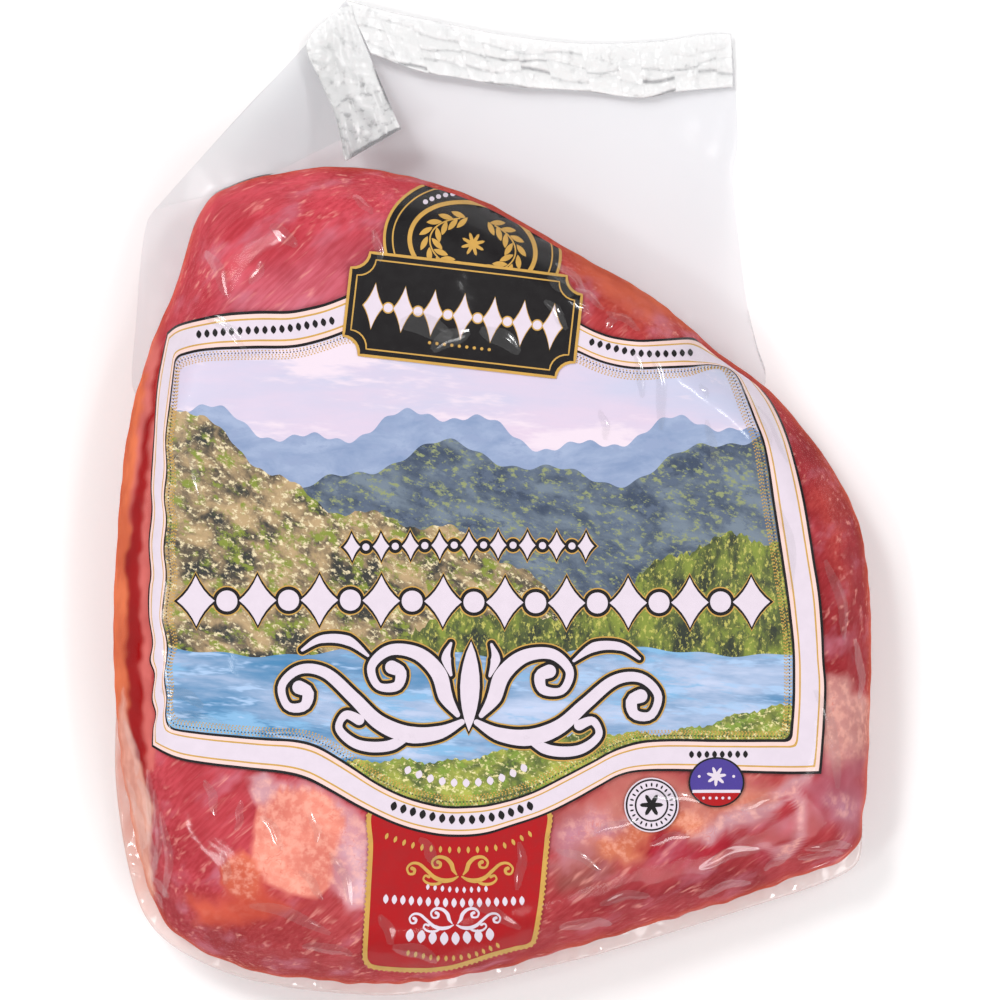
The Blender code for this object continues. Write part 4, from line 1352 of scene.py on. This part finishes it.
def cartouche(press):
    """A black oval with a wreath in it, over a plain plate, both lined with gold."""
    for name, spot, shape, inner_line, layer in (
        ("medallion", MEDALLION, lambda grow: oval(47.5 + grow, 38.5 + grow, 110), -4.4, 3),
        ("name_plate", NAME_PLATE, lambda grow: plate_outline(62 + grow, 27.5 + grow, 4.6),
         -3.6, 5),
    ):
        press.field(f"{name}_field", set_at(shape(0.0), spot), 1.5, "black", layer)
        for part, grow, width in (("rim", 0.0, 0.75), ("line", inner_line, 0.4)):
            edge = set_at(shape(grow), spot)
            press.line(f"{name}_{part}", edge, width, "gold", layer + 1, closed=True)
    ring = set_at(oval(34, 24, 100), MEDALLION)
    press.line("medallion_ring", ring, 1.2, "gold", 4, closed=True)
    for side, hand in ((1, "right"), (-1, "left")):
        branch = arc(WREATH_SWEEP, WREATH_SIZE, 40) * (side, 1)
        for turn, spread, row in WREATH_ROWS:
            press.row(f"wreath_{hand}_{row}", set_at(branch * spread, MEDALLION), leaf(4.2, 1.5),
                      9, "gold", 4, turn=turn * side, cell=1.2)
        press.line(f"wreath_stem_{hand}", set_at(branch, MEDALLION), 0.4, "gold", 4)
    spot = set_at(level_line(POINT, 0.4), MEDALLION)
    press.row("wreath_star", spot, rosette(6.6, 2.6, 8), 1, "gold", 4)
    for name, ends, shape, size, count in (("plate_lozenges", (-24, 24), lozenge, (5.2, 12.0), 7),
                                           ("plate_beads", (-20, 20), oval, (2.4, 2.4), 6)):
        line = set_at(level_line(ends, -0.4), NAME_PLATE)
        press.white_row(name, line, shape, size, count, 5, rim=0.0)
    bead = oval(0.9, 0.9, 8)
    low = set_at(level_line((-8, 8), -8.4), NAME_PLATE)
    press.row("plate_small_beads", low, bead, 9, "gold", 6)
    high = set_at(arc((140, 80), (19.2, 14.6), 30), MEDALLION)
    press.row("medallion_beads", high, bead, 11, "white", 4, size=1.6)


def rosette(outer, inner, petals):
    """A star-like flower with rounded petals."""
    angle = np.linspace(0, TURN, petals * 6, endpoint=False)
    radius = inner / 2 + (outer - inner) / 2 * (0.5 + 0.5 * np.cos(angle * petals))
    return np.column_stack([np.cos(angle) * radius, np.sin(angle) * radius])


# Rows of white ornament: path in pixels, count, motif, its width and height in mm
WHITE_ROWS = (
    ("upper_row", ((352, 547), (468, 545), (586, 546)), 9, lozenge, (4.4, 7.2)),
    ("upper_beads", ((366, 547), (468, 545), (572, 546)), 8, oval, (1.9, 1.9)),
    ("main_row", ((196, 601), (330, 600), (470, 602), (610, 603), (752, 602)), 10, lozenge,
     (10.0, 13.4)),
    ("main_rings", ((227, 601), (340, 600), (470, 602), (600, 603), (721, 602)), 9, oval,
     (5.6, 5.6)),
)
# Rows of small leaves on the frame and under it, and on the tag: path in pixels, count, leaf
# width and length in mm, ink, layer
FRAME_LEAVES = (
    ("frame_row_left", ((198, 334), (240, 331), (285, 329), (332, 321)), 17, (1.43, 2.3),
     "black", 3),
    ("frame_row_right", ((592, 342), (640, 353), (692, 351)), 13, (1.43, 2.1), "black", 3),
    ("frame_row_low", ((394, 806), (430, 816), (463, 820), (498, 816), (530, 806)), 15,
     (1.69, 2.6), "black", 3),
    ("frame_row_corner", ((692, 755), (746, 755)), 8, (1.3, 2.0), "black", 3),
    ("scene_row_low", ((408, 770), (436, 780), (466, 783), (498, 779), (524, 768)), 11,
     (1.82, 2.4), "white", 1),
)
TAG_LEAVES = (
    ("tag_row_1", ((387, 836), (420, 847), (460, 850), (500, 847), (530, 834)), 17, (0.9, 1.9),
     "gold", 2),
    ("tag_row_2", ((428, 887), (457, 890), (486, 889)), 9, (0.9, 1.7), "white", 2),
    ("tag_row_3", ((386, 899), (455, 903), (522, 901)), 17, (1.4, 2.6), "white", 2),
    ("tag_row_4", ((410, 936), (450, 940), (490, 936)), 8, (2.2, 3.8), "white", 2),
    ("tag_row_5", ((408, 955), (440, 961), (470, 959), (498, 948)), 13, (0.9, 1.8), "gold", 2),
)
ROW_STEPS, TAG_ROW_STEPS = 40, 30  # points on the path of a row
FRINGE_ROWS, FRINGE_GAP, FRINGE_DOT, FRINGE_COUNT = 5, 0.55, 0.42, 560


def ornament_rows(press):
    for name, pixels, count, shape, size in WHITE_ROWS:
        path = from_photo(smooth_curve(pixels, even(ROW_STEPS)))
        press.white_row(name, path, shape, size, count, 0)


def leaf_rows(press, rows, steps):
    """Rows of small leaves that stand across their line."""
    for name, pixels, count, (width, length), ink, layer in rows:
        path = from_photo(smooth_curve(pixels, even(steps)))
        press.row(name, path, leaf(length, width), count, ink, layer, turn=math.pi / 2)


def frame_fringe(press):
    """Rows of very fine dots just inside the frame, the second one dark and the rest gold."""
    outer, inner = frame_loops()
    inward = inner - outer
    inward /= np.linalg.norm(inward, axis=1)[:, None]
    dot = oval(FRINGE_DOT, FRINGE_DOT, 6)
    for number in range(FRINGE_ROWS):
        path = np.roll(inner + inward * FRINGE_GAP * (1 + number), number % 2, axis=0)
        ink = "umber" if number == 1 else "gold"
        press.row(f"frame_fringe_{number + 1}", path, dot, FRINGE_COUNT + 3 * number, ink, 1,
                  closed=True)


TAG_EDGE = (
    (371, 812), (371, 845), (370, 870), (367, 920), (365, 955), (367, 966), (376, 971),
    (412, 974), (440, 973), (461, 969), (490, 959), (515, 952), (529, 949), (535, 940),
    (541, 900), (545, 860), (547, 840), (548, 812), (517, 822), (484, 831), (453, 834), (428, 831),
    (399, 823),
)
TAG_FREE = slice(0, 131)  # points of the edge that aren't under the frame


TAG_SCROLLS = (("tag_scroll_gold", (460, 869), 0.28, "gold"),
               ("tag_scroll_white", (455, 919), 0.24, "white"))
SCALLOP, SCALLOP_OUT = 0.85, 0.55


def red_tag(press):
    """A tag hung under the frame: red, with a scalloped gold edge and rows of ornament."""
    edge = from_photo(smooth_curve(TAG_EDGE, even(181)[:-1], closed=True))
    press.field("tag_field", edge, 1.6, "tag_red", 0)
    free, middle = edge[TAG_FREE], edge.mean(0)
    press.line("tag_edge", free, 1.2, "gold", 1)
    outward = free - middle
    rim = middle + outward * (1 + SCALLOP_OUT / np.linalg.norm(outward, axis=1)[:, None])
    press.row("tag_scallops", rim, oval(SCALLOP, SCALLOP, 8), 92, "gold", 1)
    leaf_rows(press, TAG_LEAVES, TAG_ROW_STEPS)
    for name, centre, scale, ink in TAG_SCROLLS:
        points, quads = strokes(0.0, scale, slice(0, 3))
        press.lay(name, points + from_photo([centre])[0], quads, [ink], 2)


DISC_MIDDLE, OVAL_MIDDLE = (652, 805.5), (717, 783)  # of the two round marks, in pixels
DISC, DISC_RINGS, TICK_RING = 14.6, (("disc_ring", 13.4), ("disc_inner_ring", 8.6)), 10.9
OVAL_SIZE, OVAL_RIM, OVAL_PARTING = (14.0, 12.6), 1.07, -2.4
OVAL_MOTIFS = (  # outline, ends and height of its row, count
    ("oval_flower", rosette(5.4, 2.2, 7), POINT, 1.6, 1),
    ("oval_beads_high", oval(0.8, 0.8, 8), (-4.6, 4.6), 1.6, 2),
    ("oval_beads_low", oval(0.8, 0.8, 8), (-3.4, 3.4), -4.2, 5),
)


def round_marks(press):
    """A white disc with dark rings, and a small oval, violet over red with a white band."""
    disc = from_photo([DISC_MIDDLE])[0]
    press.field("disc_white", oval(DISC, DISC, 60) + disc, FIELD_CELL, "white", 0)
    for name, size in DISC_RINGS:
        press.line(name, oval(size, size, 60) + disc, 0.45, "black", 1, closed=True)
    press.row("disc_ticks", oval(TICK_RING, TICK_RING, 60) + disc, oval(1.1, 0.5, 8), 24, "black",
              1, turn=math.pi / 2, closed=True)
    press.row("disc_flower", level_line(POINT, 0.0) + disc, rosette(6.4, 2.4, 6), 1, "black", 1)
    middle = from_photo([OVAL_MIDDLE])[0]
    shape = oval(*OVAL_SIZE, 48)
    press.field("oval_rim", shape * OVAL_RIM + middle, FIELD_CELL, "black", 3)
    parting = np.linspace((-8, OVAL_PARTING), (8, OVAL_PARTING), 12) + middle
    points, faces = fill(shape + middle, FIELD_CELL, [parting])
    ink = np.where(points[faces].mean(1)[:, 1] > parting[0, 1], 0, 1)
    press.lay("oval_mark", points, faces, ["violet", "tag_red"], 4, ink)
    band = np.linspace((-6.4, OVAL_PARTING), (6.4, OVAL_PARTING), 12) + middle
    press.line("oval_band", band, 0.8, "white", 5)
    for name, outline, ends, height, count in OVAL_MOTIFS:
        press.row(name, level_line(ends, height) + middle, outline, count, "white", 5)


def inks():
    """The press's inks. The gold is a yellow-brown ink, and not a metal foil."""
    made = {name: printed_ink(f"{called} ink", code, mottle) for name, called, code, mottle in (
        ("black", "black", "#141012", 0.1), ("white", "white", "#DDD0DC", 0.04),
        ("blush", "blush", "#EFCFC9", 0.05), ("gold", "gold", "#CDA050", 0.12),
        ("umber", "umber", "#4A3C34", 0.1), ("tag_red", "red", "#AC0C14", 0.12),
        ("violet", "violet", "#4A3A90", 0.08),
    )}
    # Three colours, size of the patches in mm, their stretch, turn and contrast, and specks
    for name, called, *rest in (
        ("sky", "sky", ("#D9C6D9", "#BEC2DA", "#E5D5E1"), 30, (0.22, 1.0, 1.0), 0.05, 0.2),
        ("far_hills", "far hills", ("#A0AECB", "#7D90B4", "#8E9DBE"), 8, (0.5, 1.0, 1.0)),
        ("slate_hills", "slate hills", ("#37445A", "#717E8C", "#546176"), 9, (0.6, 1.0, 1.0),
         0.3, 0.14, "#8C9468"),
        ("left_fields", "heath", ("#2E2E2C", "#B89C74", "#7E8A30"), 8, (0.7, 1.0, 1.0),
         0.5, 0.12, "#E4D4AC"),
        ("right_woods", "wood", ("#262D22", "#7F8C34", "#4A552C"), 6, (1.0, 0.6, 1.0),
         0.0, 0.13, "#B9B45A"),
        ("lake", "lake", ("#3C7CAA", "#C2CCE6", "#7FAFD6"), 18, (0.2, 1.0, 1.0),
         0.08, 0.16, "#A4C0E2"),
        ("near_meadow", "meadow", ("#4C5A2A", "#A9AE48", "#7C9434"), 7, (0.8, 1.0, 1.0),
         0.2, 0.14, "#E6DA9E"),
    ):
        made[name] = picture_ink(f"{called} ink", *rest)
    return made


# Studio


LAMPS = (  # place in m, side in m, power in W
    ("key_light", (-0.9, 0.9, 1.5), 0.8, 12.6),
    ("fill_light", (0.8, -1.0, 1.5), 1.0, 13.6),
    ("glint_light", (-0.55, 0.65, 1.6), 0.24, 5.0),
    ("right_glint_light", (0.7, 0.4, 1.6), 0.2, 3.5),
    ("left_glint_light", (-0.75, -0.3, 1.6), 0.2, 3.5),
)
LAMP_TARGET = (0, 0, 0.02)
FLOOR_REACH, FLOOR_DROP = 3000, 0.3
WORLD_STRENGTH = 0.45


def studio():
    corners = [(x * FLOOR_REACH, y * FLOOR_REACH, -FLOOR_DROP)
               for x, y in ((-1, -1), (1, -1), (1, 1), (-1, 1))]
    floor = new_mesh("paper_floor", corners, [(0, 1, 2, 3)], [matte_floor()], smooth=False)
    for name, where, size, power in LAMPS:
        light = bpy.data.lights.new(name, "AREA")
        light.shape, light.size, light.energy = "SQUARE", size, power
        lamp = bpy.data.objects.new(name, light)
        lamp.location = where
        ahead = Vector(LAMP_TARGET) - Vector(where)
        lamp.rotation_euler = ahead.to_track_quat("-Z", "Y").to_euler()
        bpy.context.scene.collection.objects.link(lamp)
    world = bpy.data.worlds.new("studio")
    world.use_nodes = True
    background = world.node_tree.nodes["Background"]
    background.inputs["Color"].default_value = (1, 1, 1, 1)
    background.inputs["Strength"].default_value = WORLD_STRENGTH
    bpy.context.scene.world = world
    bpy.context.scene.view_settings.view_transform = "Standard"


def camera():
    """Straight down on the bag, as in the photograph."""
    lens = bpy.data.cameras.new("camera")
    lens.sensor_width = 36.0
    lens.lens = 36.0 * (EYE[2] - OUTLINE_HEIGHT) / (2 * PHOTO_MIDDLE * PIXEL)
    lens.clip_end = 20.0
    eye = bpy.data.objects.new("camera", lens)
    eye.location = Vector(EYE) * MM
    bpy.context.scene.collection.objects.link(eye)
    bpy.context.scene.camera = eye


def main():
    film = clear_film("vacuum film", "#FFFFFF", 0.5, 0.023, 0.13, uneven=0.08)
    fold = clear_film("folded vacuum film", "#FFFFFF", 2.6, 0.1, 0.14)
    slack = clear_film("slack film", "#F8F8F9", 0.15, 0.12, 0.2)
    turned = clear_film("folded slack film", "#FFFFFF", 0.15, 0.12, 0.2)
    seam = clear_film("gathered film", "#FFFFFF", 1.0, 0.1, haze=0.3)
    weld = creased_film("welded film", "#A4A4A6", 0.42)
    weld_end = creased_film("welded film end", "#828284", 0.5)
    covering = film_over_meat(film)
    surface = Surface(covering)
    cut = meat(beef(), covering)
    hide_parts("brisket_bag")
    clear = [covering, film_folds(fold, surface), neck(slack), folded_corner(turned),
             heat_seal(weld), folded_seal_end(weld_end), lower_seam(seam)]
    press = Press(surface)
    printed_frame(press)
    printed_scene(press)
    frame_fringe(press)
    ornament_rows(press)
    leaf_rows(press, FRAME_LEAVES, ROW_STEPS)
    flourish(press)
    cartouche(press)
    red_tag(press)
    round_marks(press)
    for pieces, slot in ((clear, "film"), ([cut], "meat"), (press.printed, "print")):
        for piece in pieces:
            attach(piece, "root")
    studio()
    camera()


main()
